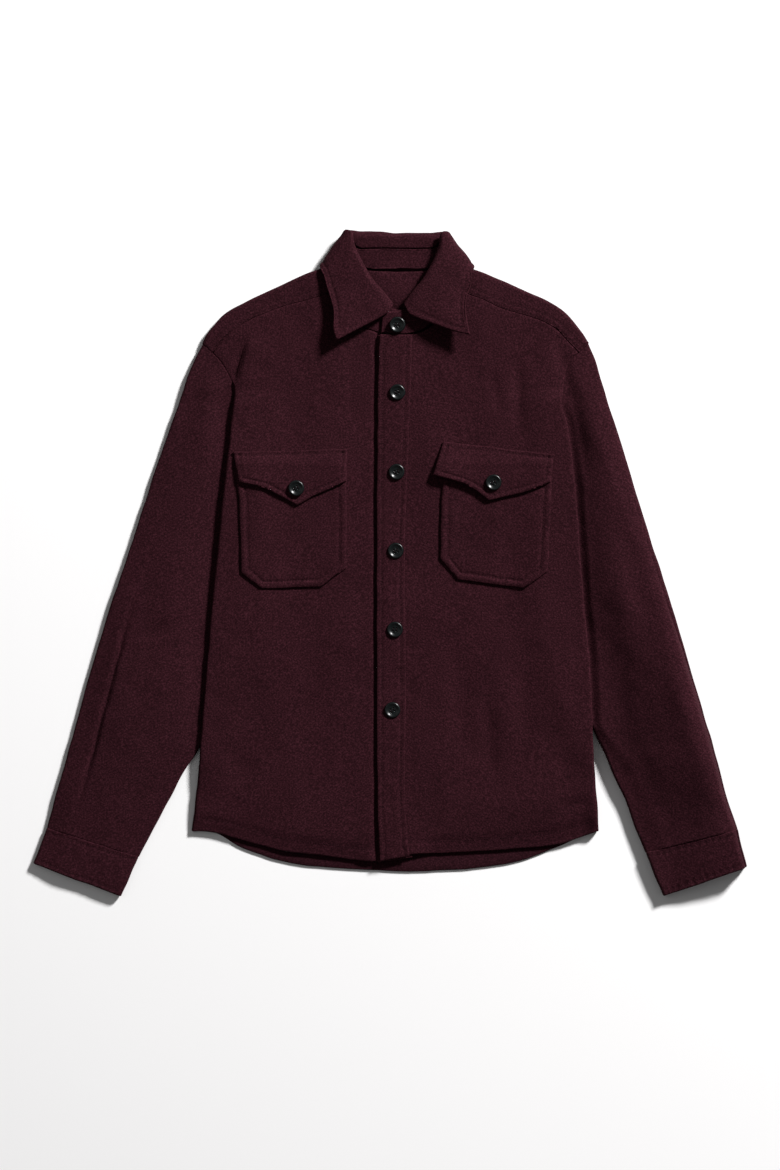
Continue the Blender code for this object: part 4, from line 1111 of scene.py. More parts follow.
        arcs, insets = [], []
        for share, other, sign in ((0.0, 0.03, 1.0), (1.0, 0.97, -1.0)):
            here, beside = (place(np.full((rings, 1), s))[:, 0] for s in (share, other))
            way = sign * inward_ways(here)
            if share == 0.0:
                way += curve[:, None] * (unit(beside - here) - way)
            height = top_of(here[:, None], np.full((rings, 1), share))[:, 0]
            arcs.append(fold_arc(here, unit(way), height, np.full(rings, low), thickness))
            insets.append(((height - low) / 2 + thickness / 2) / width)

        def level(count: int) -> Array:
            """Shares of a layer's points between the two folds."""
            steps = np.linspace(0, 1, count)[1:-1]
            return insets[0][:, None] + steps * (1.0 - insets[0] - insets[1])[:, None]

        shares, under = level(columns), level(columns // 2)
        upper = with_height(place(shares), top_of(place(shares), shares))
        lower = with_height(place(under), low)
        return np.concatenate([arcs[0][:, ::-1], upper, arcs[1], lower[:, ::-1]], axis=1)

    def upper_height(self, side: Side, y: Array, shares: Array, clear: Array, from_edge: Array) -> Array:
        """Upper layer of a sleeve: low under the body and at the edge, lofty and domed between.

        Args:
            side: Side of the sleeve.
            y: Place along the garment.
            shares: Share of the width from the outer edge.
            clear: Distance from the body's edge, which is negative under it.
            from_edge: Distance from the outer edge.

        Returns:
            Height of the layer's middle, without its creases.
        """
        ramp = self.loft_from[side] + (self.loft_run - self.loft_from[side]) * below(y, *self.loft_low)
        free = above(clear, self.loft_clear, ramp) * smooth_step(from_edge / self.edge_run)
        rise, crest, fall, ridge = self.domes[side]
        crest = self.low_crest[side] + (crest - self.low_crest[side]) * smooth_step(y / self.crest_moves)
        dome = self.hump(shares, crest, fall, ridge) * above(clear, *self.dome_clear)
        dome = dome * (self.kept_above[side] + (1.0 - self.kept_above[side]) * below(y, *self.dome_low))
        dome = dome * (1.0 - (1.0 - self.kept_at_cuff[side]) * below(y, *self.near_cuff))
        height = self.layout.sleeve_top + self.head_rise * above(y, *self.head) + self.loft[side] * free
        upper = below(y, *self.edge_from) * (1.0 - below(y, *self.edge_to))
        return height + rise * dome + self.edge_rise[side] * upper * above(clear, *self.edge_clear)

    def sleeve_grid(self, side: Side) -> Array:
        """Middle surface of a sleeve, its first ring along the armhole and its last at the cuff."""
        rows, layout = self.stations[side], self.layout
        run = lengths(pick(rows, "out_o y_o"))
        at = spread(run, self.pitch)
        fine = {name: eased(run, column, at) for name, column in rows.items()}
        outer, inner = pick(fine, "out_o y_o"), pick(fine, "out_i y_i")
        curve = fine["curve"][:, None]

        def bulge(shares: Array) -> Array:
            """Bend of the armhole away from its chord, fading down the sleeve."""
            y = rows["y_o"][0] + shares * (rows["y_i"][0] - rows["y_o"][0])
            chord = rows["out_o"][0] + shares * (rows["out_i"][0] - rows["out_o"][0])
            return (layout.arm_out(side, y) - 2 * SEAM - chord) * curve

        def top_of(plan: Array, shares: Array) -> Array:
            """Upper layer with its creases."""
            out, y = plan[..., 0], plan[..., 1]
            clear = out - np.maximum(layout.edge(side, y, "fold"), layout.hidden_line(side, y))
            from_edge = shares * np.linalg.norm(inner - outer, axis=1)[:, None] * (1 - 0.8 * curve)
            height = self.upper_height(side, y, shares, clear, from_edge)
            for crease in self.creases[side]:
                height = height + crease.height(side.value * out, y) * smooth_step(from_edge / self.crease_run)
            return height

        grid = self.tube(outer, inner, fine["curve"], bulge, top_of, self.cloth, self.columns)
        return placed(grid, side)

    def cuff_rows(self, side: Side) -> list[Array]:
        """Topstitching of a cuff beside its seam and beside its end."""
        outer, inner = (pick(self.cuff_ends[side], names) for names in ("out_o y_o", "out_i y_i"))
        lines = []
        for index, other in ((0, 2), (2, 0)):
            ends = [line[index] + (line[other] - line[index]) * self.cuff_row
                    / np.linalg.norm(line[other] - line[index]) for line in (outer, inner)]
            lines.append(mirrored(between(ends[0][None], ends[1][None], np.linspace(0.03, 0.97, 12))[0], side))
        return lines

    def cuff_grid(self, side: Side) -> Array:
        """Middle surface of a cuff as closed rings."""
        knots, at = np.array([0.0, 0.5, 1.0]), np.linspace(0, 1, self.cuff_rings)
        fine = {name: eased(knots, column, at) for name, column in self.cuff_ends[side].items()}
        lines = [StitchLine(line, depth=0.6, width=1.4, pucker=0.3, seed=8) for line in self.cuff_rows(side)]

        def top_of(plan: Array, shares: Array) -> Array:
            """Upper layer, domed, with the grooves of its stitching."""
            rise, *form = self.cuff_dome[side]
            height = self.cuff / 2 + 2 * self.cuff_radius + rise * self.hump(shares, *form)
            relief = sum(line.relief(mirrored(plan, side)) for line in lines)
            return height + relief * smooth_step(shares / self.fades) * smooth_step((1 - shares) / self.fades)

        grid = self.tube(pick(fine, "out_o y_o"), pick(fine, "out_i y_i"), np.zeros(len(at)),
                         lambda shares: 0.0 * shares, top_of, self.cuff, self.cuff_columns)
        return placed(grid, side)

    def build(self) -> dict[str, Object]:
        """Makes both sleeves and cuffs."""
        made = {}
        for side in Side:
            word = side.word
            made["sleeve_" + word] = self.sew(
                "sleeve_tube_" + word, Cloth(self.sleeve_grid(side), self.cloth, tube=True), "sleeve_" + word,
                self.sleeve_flat, "front_panel_" + word, self.sleeve_area[side])
            made["cuff_" + word] = self.sew(
                "cuff_band_" + word, Cloth(self.cuff_grid(side), self.cuff, tube=True), "cuff_" + word,
                self.cuff_flat, "sleeve_tube_" + word)
        return made


@dataclass
class Collar(Sewn):
    """Collar stand and fall: rows of points round the neck, from the neck seam to the free edge.

    In the tables n is the neck seam, m the seam of the fall, r the roll and f the free edge.
    """

    stand: float = 2.6
    fall: float = 3.0
    seam_bend: float = 1.5
    stitch_inset: float = 6.6
    pucker_mm: float = 8.0
    pucker_wide: float = 4.0
    pucker: float = 0.25
    groove: Pair = (0.7, 1.5)
    thick_edge: Ridge = (0.45, 2.5, 2.6)
    leaf_waves: Waves = (0.5, 21, 30.0, 90.0)
    waves_inside: float = 12.0
    roll_from: float = 0.6
    roll_run: float = 0.2
    off_floor: Pair = (3.0, 4.0)
    tip_cut: float = 9.0
    turned_below: float = 14.5
    pitch: float = 2.2
    row_pitch: float = 1.8
    behind_neck: Pair = (40.0, 20.0)
    stand_flat: Pair = (0.44, 0.036)
    fall_flat: Pair = (0.44, 0.085)
    halves: dict[Side, Table] = each_side(
        table("nx ny nz mx my mz rx ry rz fx fy fz",
            (2, 280.2, 5.8, -1, 311.6, 8.0, -4, 314, 15.5, 66, 271, 23),
            (24, 284.5, 7.6, 16, 325, 10.6, 10, 331, 18.0, 69.5, 287, 21.5),
            (40, 296, 9.0, 31, 344, 12.2, 26, 350, 18.8, 69, 305, 19.6),
            (55, 312, 9.4, 42, 365, 12.6, 37, 371, 18.4, 72.5, 322, 17.8),
            (65, 326, 9.4, 48, 380, 12.6, 44, 386, 17.4, 77.5, 337, 16.2)),
        table("nx ny nz mx my mz rx ry rz fx fy fz",
            (15, 279.6, 8.9, 16, 309, 11.8, 17, 314.5, 17.0, 97.5, 277, 24),
            (37, 285, 8.8, 34, 325, 12.2, 29, 330, 18.4, 94, 293.5, 22),
            (56, 298.6, 9.0, 48, 344, 12.6, 43, 349, 18.8, 92, 309, 19.8),
            (70, 312.8, 9.4, 59, 364, 12.8, 54, 369, 18.4, 93.5, 324, 18.0),
            (80, 326, 9.4, 64, 378, 11.6, 60.5, 386, 17.6, 98, 338.5, 16.4)))
    stand_end: dict[Side, tuple[float, ...]] = each_side(
        (-20, 280.5, 5.2, -17, 308, 6.6), (-12, 279.6, 9.1, -9, 305.5, 11.4))
    fold_rows: dict[Side, Table] = each_side(
        table("x y top low way_x way_y slant y_back z_back", (73.0, 360.6, 9.3, 5.3, -0.8, -0.6, 0, 358.3, 5.3),
            (49.5, 391, 12.2, 6.4, -0.8, -0.6, 0, 383, 7.4), (52.5, 400, 15.2, 7.2, -0.95, -0.31, 0, 397, 8.5),
            (56, 404.3, 16.6, 4.8, -1.0, 0.0, 0, 402.8, 5.0), (60.5, 399, 16.4, 1.8, -0.9, -0.44, 1, 397, 1.8),
            (67.5, 389.5, 16.0, 1.8, -0.8, -0.6, 3, 381, 1.8), (77, 376, 15.8, 1.8, -0.75, -0.66, 6, 359, 1.8),
            (85.5, 362, 15.0, 1.8, -0.5, -0.87, 8, 337, 1.8)),
        table("x y top low way_x way_y slant y_back z_back",
            (88.0, 360.6, 9.3, 5.3, -0.79, -0.62, 0, 358.3, 5.3),
            (65, 391, 11.6, 6.4, -0.79, -0.62, 0, 383, 7.4), (67.5, 399, 15.2, 7.2, -0.95, -0.31, 0, 396, 8.5),
            (71.5, 402.3, 16.6, 4.8, -1.0, 0.0, 0, 401, 5.0),
            (75.5, 398.5, 16.4, 1.8, -0.9, -0.44, 1, 396, 1.8),
            (83, 388.5, 16.0, 1.8, -0.79, -0.62, 3, 380, 1.8), (93, 376, 15.8, 1.8, -0.75, -0.66, 6, 359, 1.8),
            (102.3, 361, 15.0, 1.8, -0.5, -0.87, 8, 337, 1.8)))
    leaf_rows: Table = field(default_factory=lambda: table("share drop bow", (0.0, 3.2, 0.0), (0.07, 0.0, 0.95),
        (0.17, 0.0, 1.0), (0.42, 0.0, 0.8), (0.7, 0.0, 0.6), (1.0, 0.0, 0.0)))
    leaf_bow: dict[Side, float] = each_side(5.5, 9.5)

    def back_points(self, side: Side, x: float) -> Array:
        """Points of the collar behind the neck at one distance from the middle."""
        rows = self.fold_rows[side]
        return points_of(x, rows["y_back"], rows["z_back"])

    def half(self, side: Side) -> Array:
        """Rows of the collar's half from the middle of the front to behind the neck."""
        neck, seam, roll, free = (pick(self.halves[side], f"{c}x {c}y {c}z") for c in "nmrf")
        leaf = roll + self.leaf_rows["share"][:, None, None] * (free - roll)
        leaf[..., 2] -= self.leaf_rows["drop"][:, None]
        leaf[:, 0, 1] -= self.leaf_bow[side] * self.leaf_rows["bow"]
        front = np.concatenate([neck[None], seam[None], leaf])
        fold = self.fold_rows[side]
        steps = 5
        arc = fold_arc(pick(fold, "x y"), pick(fold, "way_x way_y"), fold["top"], fold["low"], self.fall, steps)
        arc[..., 1] += fold["slant"][:, None] * np.linspace(-0.5, 0.5, steps)
        middle = side.value * self.layout.neck_x
        back = np.stack([self.back_points(side, middle + x) for x in self.behind_neck], axis=1)
        return placed(np.concatenate([front, arc, back], axis=1), side)

    def rows(self) -> Array:
        """Whole collar from the neck seam to the free edge, round the neck."""
        middle = self.back_points(Side.LEFT, self.layout.neck_x)
        return np.concatenate([self.half(Side.RIGHT), middle[:, None], self.half(Side.LEFT)[:, ::-1]], axis=1)

    def finer(self, grid: Array, across: float, down: float) -> Array:
        """Grid with eased lines through its points at a finer pitch, both ways."""
        run = lengths(grid.swapaxes(0, 1)).mean(axis=1)
        grid = eased(run, grid.swapaxes(0, 1), spread(run, across)).swapaxes(0, 1)
        run = lengths(grid).mean(axis=1)
        return eased(run, grid, spread(run, down))

    def grids(self) -> tuple[Array, Array]:
        """Middle surfaces of the stand, with its two ends, and of the fall."""
        rows = self.rows()
        ways = unit(rows[1:3] - rows[:2])
        bend = np.arccos(np.clip((ways[0] * ways[1]).sum(axis=1), -1.0, 1.0))
        space = (SEAM + self.seam_bend * self.fall * np.tan(bend / 2))[:, None]
        top, start = rows[1] - ways[0] * space / 2, rows[1] + ways[1] * space / 2
        top[:, 2] -= SEAM
        start[:, 2] += SEAM
        lines = np.stack([rows[0] - ways[0] * 2 * SEAM, (rows[0] + top) / 2, top])
        ends = {}
        for side in Side:
            end = np.array(self.stand_end[side], float).reshape(2, 3)
            end[:, 0] *= side.value
            ends[side] = np.stack([end[0], end.mean(axis=0), end[1]])[:, None]
        stand = np.concatenate([ends[Side.RIGHT], lines, ends[Side.LEFT]], axis=1)
        fall = np.concatenate([start[None], rows[2:]])
        return self.finer(stand, self.pitch, self.row_pitch), self.finer(fall, self.pitch, self.row_pitch)

    def border(self, grid: Array) -> Array:
        """The leaf's edges in space: down one front end, along the free edge and up the other end."""
        leaf = grid.shape[0] // 6
        return np.concatenate([grid[leaf:-1, 0], grid[-1], grid[-2:leaf - 1:-1, -1]])

    def fall_relief(self, grid: Array) -> Array:
        """Groove of the topstitching, and an edge that the seam inside it makes thick."""
        distance, run = near_line(grid, self.border(grid))
        from_row = distance - self.stitch_inset
        depth, width = self.groove
        wander = 2 * waves(run, run * 0, 9, 20.0, 60.0)
        ripple = self.pucker * np.sin(2 * math.pi * run / self.pucker_mm + wander)
        relief = ripple * bell(from_row, self.pucker_wide) - depth * bell(from_row, width)
        relief += ridge(distance, *self.thick_edge)
        relief += uneven(grid, *self.leaf_waves) * smooth_step(distance / self.waves_inside)
        share = lengths(grid).mean(axis=1)
        from_roll = smooth_step(share / share[-1] / self.roll_run - self.roll_from)[:, None]
        return relief * from_roll * above(grid[..., 2], *self.off_floor)

    def stitch_lines(self, grid: Array) -> list[Array]:
        """Plan lines of the topstitching along the front end and the free edge of both leaves."""
        lines = []
        for side, half in ((Side.RIGHT, grid), (Side.LEFT, grid[:, ::-1])):
            turned = int(np.argmax(half[-1, :, 2] < self.turned_below))
            front_end, free_edge = half[grid.shape[0] // 5:, 0, :2], half[-1, :turned, :2]
            for border, start, stop in ((front_end, 0.0, self.tip_cut), (free_edge, self.tip_cut, 0.0)):
                length = lengths(border)[-1]
                part = along(border, np.linspace(start, length - stop, 16) / length)
                lines.append(offset_line(part, side.value * self.stitch_inset))
        return lines

    def build(self) -> dict[str, Object]:
        """Makes stand and fall."""
        stand, fall = self.grids()
        self.lines = self.stitch_lines(fall)
        cloth = Cloth(fall, self.fall)
        normal = cloth.normals(fall.reshape(-1, 3), cloth.quads()).reshape(fall.shape)
        face = math.copysign(1.0, normal[fall.shape[0] // 2, 4, 2])
        cloth.points = fall + normal * (face * self.fall_relief(fall))[..., None]
        return {"collar_stand": self.sew("neck_stand", Cloth(stand, self.stand), "collar_stand",
                                         self.stand_flat, "yoke_panel"),
                "collar_fall": self.sew("turned_collar", cloth, "collar_fall", self.fall_flat, "neck_stand")}


@dataclass
class Placket(Sewn):
    """Band along the left front, stitched beside both edges."""

    band: float = 2.0
    raised: float = 0.2
    middle_rise: float = 0.35
    middle_run: float = 4.0
    edge_run: float = 2.0
    thick_edge: Ridge = (0.3, 2.6, 2.4)
    face_waves: Waves = (0.2, 17, 14.0, 40.0)
    columns: int = 24
    space: float = 0.6
    row: float = 6.0
    pitch: float = 2.6
    flat: Pair = (0.040, 0.64)
    edges: Table = field(default_factory=lambda: table("y left right", (278.2, -13, 27), (205, -15, 25),
        (49, -16.3, 19), (-27, -16.3, 18), (-151, -16.3, 19.5), (-274, -15.5, 18), (-337, -14, 21.5),
        (-356, -12.8, 23.5)))
    end_y: Pair = (-363.5, -356.5)

    def side_line(self, name: str, end_y: float, shift: float = 0.0) -> Array:
        """Plan line of one edge of the band, moved across by a shift."""
        rows = self.edges
        y = spread(np.array([rows["y"][0], end_y]), self.pitch)
        x = eased(rows["y"][::-1], rows[name][::-1], np.clip(y, rows["y"][-1], rows["y"][0]))
        return points_of(x + shift, y)

    def stitch_lines(self) -> list[Array]:
        """Both rows of topstitching."""
        return [self.side_line("left", self.end_y[0], self.row),
                self.side_line("right", self.end_y[1], -self.row)]

    def grid(self) -> Array:
        """Middle surface of the band, thick at its edges and grooved at its stitching."""
        left, right = self.side_line("left", self.end_y[0]), self.side_line("right", self.end_y[1])
        down = np.linspace(0, 1, min(len(left), len(right)))
        left, right = along(left, down), along(right, down)
        shares = np.linspace(0, 1, self.columns)
        plan = between(left, right, shares)
        height = self.layout.on_front(Side.LEFT, plan, self.space)
        width = np.linalg.norm(right - left, axis=1)[:, None]
        inside = np.minimum(shares * width, (1 - shares) * width)
        relief = sum(StitchLine(line, depth=0.42, width=1.3, pucker=0.2, seed=seed).relief(plan)
                     for seed, line in enumerate(self.stitch_lines(), 13))
        relief += self.middle_rise * above(inside, self.row, self.middle_run) + ridge(inside, *self.thick_edge)
        relief += uneven(plan, *self.face_waves)
        relief = relief * smooth_step(inside / self.edge_run)
        return with_height(plan, height + self.band / 2 + relief + self.raised)

    def build(self) -> dict[str, Object]:
        """Makes the band."""
        return {"front_band": self.sew("button_band", Cloth(self.grid(), self.band), "front_band", self.flat,
                                       "front_panel_left")}


@dataclass
class Pockets(Sewn):
    """Breast pockets with chamfered corners, and their pointed flaps.

    In the tables o and i are a pocket's outer and inner edge, t and b a flap's top and bottom.
    """

    patch: float = 2.0
    flap: float = 2.6
    space: float = 0.3
    row: float = 8.3
    flap_row: float = 6.2
    flap_top_row: float = 4.6
    flap_air: float = 0.7
    flap_bent: Pair = (-1.0, 9.0)
    bent_least: float = 0.3
    climb: tuple[tuple[float, ...], tuple[float, ...]] = ((0.0, 0.5, 1.0), (0.0, 0.3, 1.0))
    sewn_share: float = 0.06
    swelled: float = 0.25
    swell_waves: Pair = (25.0, 80.0)
    thick: float = 0.5
    thick_run: float = 2.0
    worn: float = 0.9
    worn_run: float = 3.0
    pocket_columns: int = 62
    pitch: float = 2.2
    pocket_flat: Pair = (0.137, 0.152)
    flap_flat: Pair = (0.140, 0.068)
    pockets: dict[Side, Table] = each_side(
        table("out_o y_o out_i y_i", (189, 118, 54, 118), (186, 98, 53.5, 98), (184, 77, 53, 77),
            (183, 48, 53, 48), (182, 18, 53, 20), (181, -12, 53, -6), (158, -31, 84, -29)),
        table("out_o y_o out_i y_i", (197, 118, 65, 118), (197, 98, 64, 98), (196, 77, 62.5, 77),
            (195, 48, 62, 50), (193.5, 18, 61.5, 28), (192, -10, 61, 6), (163, -31, 82, -20)))
    flaps: dict[Side, Table] = each_side(
        table("out_t y_t out_b y_b lift", (191, 135, 184, 98, 1.0), (174, 135.5, 168, 94.5, 0.8),
            (156, 136, 151, 90, 0.4), (140, 136.5, 134, 81.5, 0.1), (122, 137, 113, 70, 0),
            (104, 137.5, 95, 81, 0), (86, 138, 80, 87, 0), (69, 138.5, 66, 92.5, 0), (52, 139, 53, 100, 0.2)),
        table("out_t y_t out_b y_b lift", (200, 132, 196, 98, 0), (184, 134, 178, 91, 0),
            (167, 136, 159, 84.5, 0.2), (150, 138, 139, 80, 0.5), (132, 140, 120, 76, 0.9),
            (115, 142, 105, 88, 1.5), (98, 144, 90, 96, 2.2), (81, 146, 69, 102, 2.9), (65, 148, 52, 107, 3.4)))

    def outline(self, side: Side) -> Array:
        """Plan line down a pocket's outer edge, along its bottom and up its inner edge, in (out, y)."""
        rows = self.pockets[side]
        return np.concatenate([pick(rows, "out_o y_o"), pick(rows, "out_i y_i")[::-1]])

    def flap_outline(self, side: Side) -> Array:
        """Plan line round a flap's free edges, in (out, y)."""
        top = pick(self.flaps[side], "out_t y_t")
        return np.concatenate([top[:1], pick(self.flaps[side], "out_b y_b"), top[-1:]])

    def pocket_row(self, side: Side) -> Array:
        """Topstitching inside a pocket's edge, in (out, y)."""
        return offset_line(self.outline(side), -self.row)

    def flap_stitches(self, side: Side) -> Array:
        """Topstitching inside a flap's free edges, in (out, y)."""
        return offset_line(self.flap_outline(side), -self.flap_row)

    def flap_top(self, side: Side) -> Array:
        """Topstitching on a flap, just below its sewn edge, in (out, y)."""
        return pick(self.flaps[side], "out_t y_t") - (0.0, self.flap_top_row)

    def edge_relief(self, plan: Array, border: Array, row: Array, inset: float, seed: int) -> Array:
        """Thick edge between the border and the stitching, whose groove puckers the cloth."""
        distance, _ = near_line(plan, border)
        relief = self.thick * below(distance, inset, self.thick_run)
        relief -= self.worn * (1.0 - smooth_step(distance / self.worn_run))
        groove = StitchLine(row, depth=1.0, width=1.7, pucker=0.22, pucker_mm=7.0, seed=seed)
        return relief + groove.relief(plan)

    def pocket_grid(self, side: Side) -> Array:
        """Middle surface of a pocket on its front."""
        outer, inner = (pick(self.pockets[side], names) for names in ("out_o y_o", "out_i y_i"))
        run = lengths(inner)
        at = spread(run, self.pitch)
        outer, inner = (points_of(*(np.interp(at, run, part) for part in line.T)) for line in (outer, inner))
        grid = between(outer, inner, np.linspace(0, 1, self.pocket_columns))
        height = self.layout.on_front(side, grid, self.space) + self.patch / 2
        height += self.edge_relief(grid, self.outline(side), self.pocket_row(side), self.row, 31)
        height += self.swelled + uneven(grid, self.swelled, 33 + side.value, *self.swell_waves)
        return placed(with_height(grid, height), side)

    def flap_grid(self, side: Side) -> Array:
        """Middle surface of a flap: sewn to the front, over the pocket's mouth, then lying or lifting."""
        rows = self.flaps[side]
        knots = lengths(pick(rows, "out_t y_t"))
        at = spread(knots, self.pitch)
        straight = {name: np.interp(at, knots, column) for name, column in rows.items()}
        lift = eased(knots, rows["lift"], at)
        top, bottom = pick(straight, "out_t y_t"), pick(straight, "out_b y_b")
        reach = ((top[:, 1] - self.pockets[side]["y_o"][0] - self.flap) / (top[:, 1] - bottom[:, 1]))[:, None]
        climbing, free = np.linspace(0, 1, 9), np.linspace(0, 1, 23)[1:]
        climb = np.concatenate([np.interp(climbing, *self.climb), np.ones(len(free))])
        shares = np.concatenate([reach * climbing, reach + (1 - reach) * free], axis=1)
        grid = top[:, None] + shares[..., None] * (bottom - top)[:, None]
        height = self.layout.on_front(side, grid, self.space) + self.flap / 2
        bent = self.bent_least + (1 - self.bent_least) * above(np.minimum(at, at[-1] - at), *self.flap_bent)
        height += climb * (self.patch + self.space + self.flap_air) * bent[:, None]
        height += lift[:, None] * shares ** 2
        relief = self.edge_relief(grid, self.flap_outline(side), self.flap_stitches(side), self.flap_row, 35)
        relief += StitchLine(self.flap_top(side), depth=1.1, width=1.7, pucker=0.15, seed=36).relief(grid)
        return placed(with_height(grid, height + relief * smooth_step(shares / self.sewn_share)), side)

    def build(self) -> dict[str, Object]:
        """Makes both pockets and both flaps."""
        made = {}
        for side in Side:
            word = side.word
            made["pocket_" + word] = self.sew(
                "breast_pocket_" + word, Cloth(self.pocket_grid(side), self.patch), "pocket_" + word,
                self.pocket_flat, "front_panel_" + word)
            made["flap_" + word] = self.sew(
                "pocket_flap_" + word, Cloth(self.flap_grid(side), self.flap), "flap_" + word,
                self.flap_flat, "breast_pocket_" + word)
        return made


@dataclass
class Stitches:
    """Thread of the topstitching: one small bead for each stitch, half sunk in its groove."""

    thread: Material
    pitch: float = 3.3
    length: float = 2.7
    radius: float = 0.3
    sides: int = 6
    ahead: float = 0.5
    ends_down: float = 0.55
    profile: Table = field(default_factory=lambda: table(
        "share thick", (0.0, 0.12), (0.12, 0.7), (0.32, 1.0), (0.5, 1.05), (0.68, 1.0), (0.88, 0.7),
        (1.0, 0.12)))
    steepest: float = 0.5
    proud: float = 0.02

    def bead(self, centre: Array, way: Array, up: Array) -> tuple[Array, Array]:
        """Beads of thread: a profile that is thin at both ends, turned about each stitch and bent down.

        Args:
            centre: Middle of each stitch, in millimetres.
            way: Unit way of each stitch.
            up: Unit normal of the cloth there.

        Returns:
            Points and cells of all the beads.
        """
        across = np.cross(up, way)
        share = self.profile["share"]
        swell = self.radius * self.profile["thick"]
        sink = -self.ends_down * (2 * share - 1) ** 2 * self.radius * 2
        angle = np.linspace(0, 2 * math.pi, self.sides, endpoint=False)
        axis = centre[:, None] + way[:, None] * ((share - 0.5) * self.length)[:, None]
        axis = axis + up[:, None] * sink[:, None]
        ring = across[:, None, None] * np.cos(angle)[:, None] + up[:, None, None] * np.sin(angle)[:, None]
        points = axis[:, :, None] + ring * swell[:, None, None]
        index = np.arange(points.size // 3).reshape(points.shape[:3])
        caps = []
        for loop in (index[:, 0, ::-1], index[:, -1]):
            caps += [loop[:, [k, k + 1, -k - 2, -k - 1]] for k in range(self.sides // 2 - 1)]
        return points.reshape(-1, 3), np.concatenate([ring_cells(index).reshape(-1, 4)] + caps)

    def run(self, name: str, lines: list[Array], carrier: Object) -> Object:
        """Sews rows of stitches on a piece, each one laid on the surface below its plan place."""
        tree = BVHTree.FromPolygons([v.co for v in carrier.data.vertices],
                                    [p.vertices[:] for p in carrier.data.polygons])
        places, ways, ups = [], [], []
        for line in lines:
            run = lengths(line)
            at = np.arange(self.pitch, run[-1] - self.pitch / 2, self.pitch)
            here, ahead = (points_of(*(np.interp(at + step, run, part) for part in line.T))
                           for step in (0.0, self.ahead))
            for place, way in zip(here, ahead - here):
                hit, normal, _, _ = tree.ray_cast(Vector((*(place * MM), 1.0)), Vector((0, 0, -1)))
                if hit is None or normal.z < self.steepest:
                    continue
                places.append(np.array(hit) / MM)
                ups.append(np.array(normal))
                ways.append(np.array([*way, 0.0]))
        centre, up, way = np.array(places), np.array(ups), np.array(ways)
        way = unit(way - up * (way * up).sum(axis=1, keepdims=True))
        points, quads = self.bead(centre + up * self.proud, way, up)
        obj = make_mesh(name, points, quads, self.thread)
        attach(obj, "root")
        log.info("%s: %d stitches", name, len(centre))
        return obj


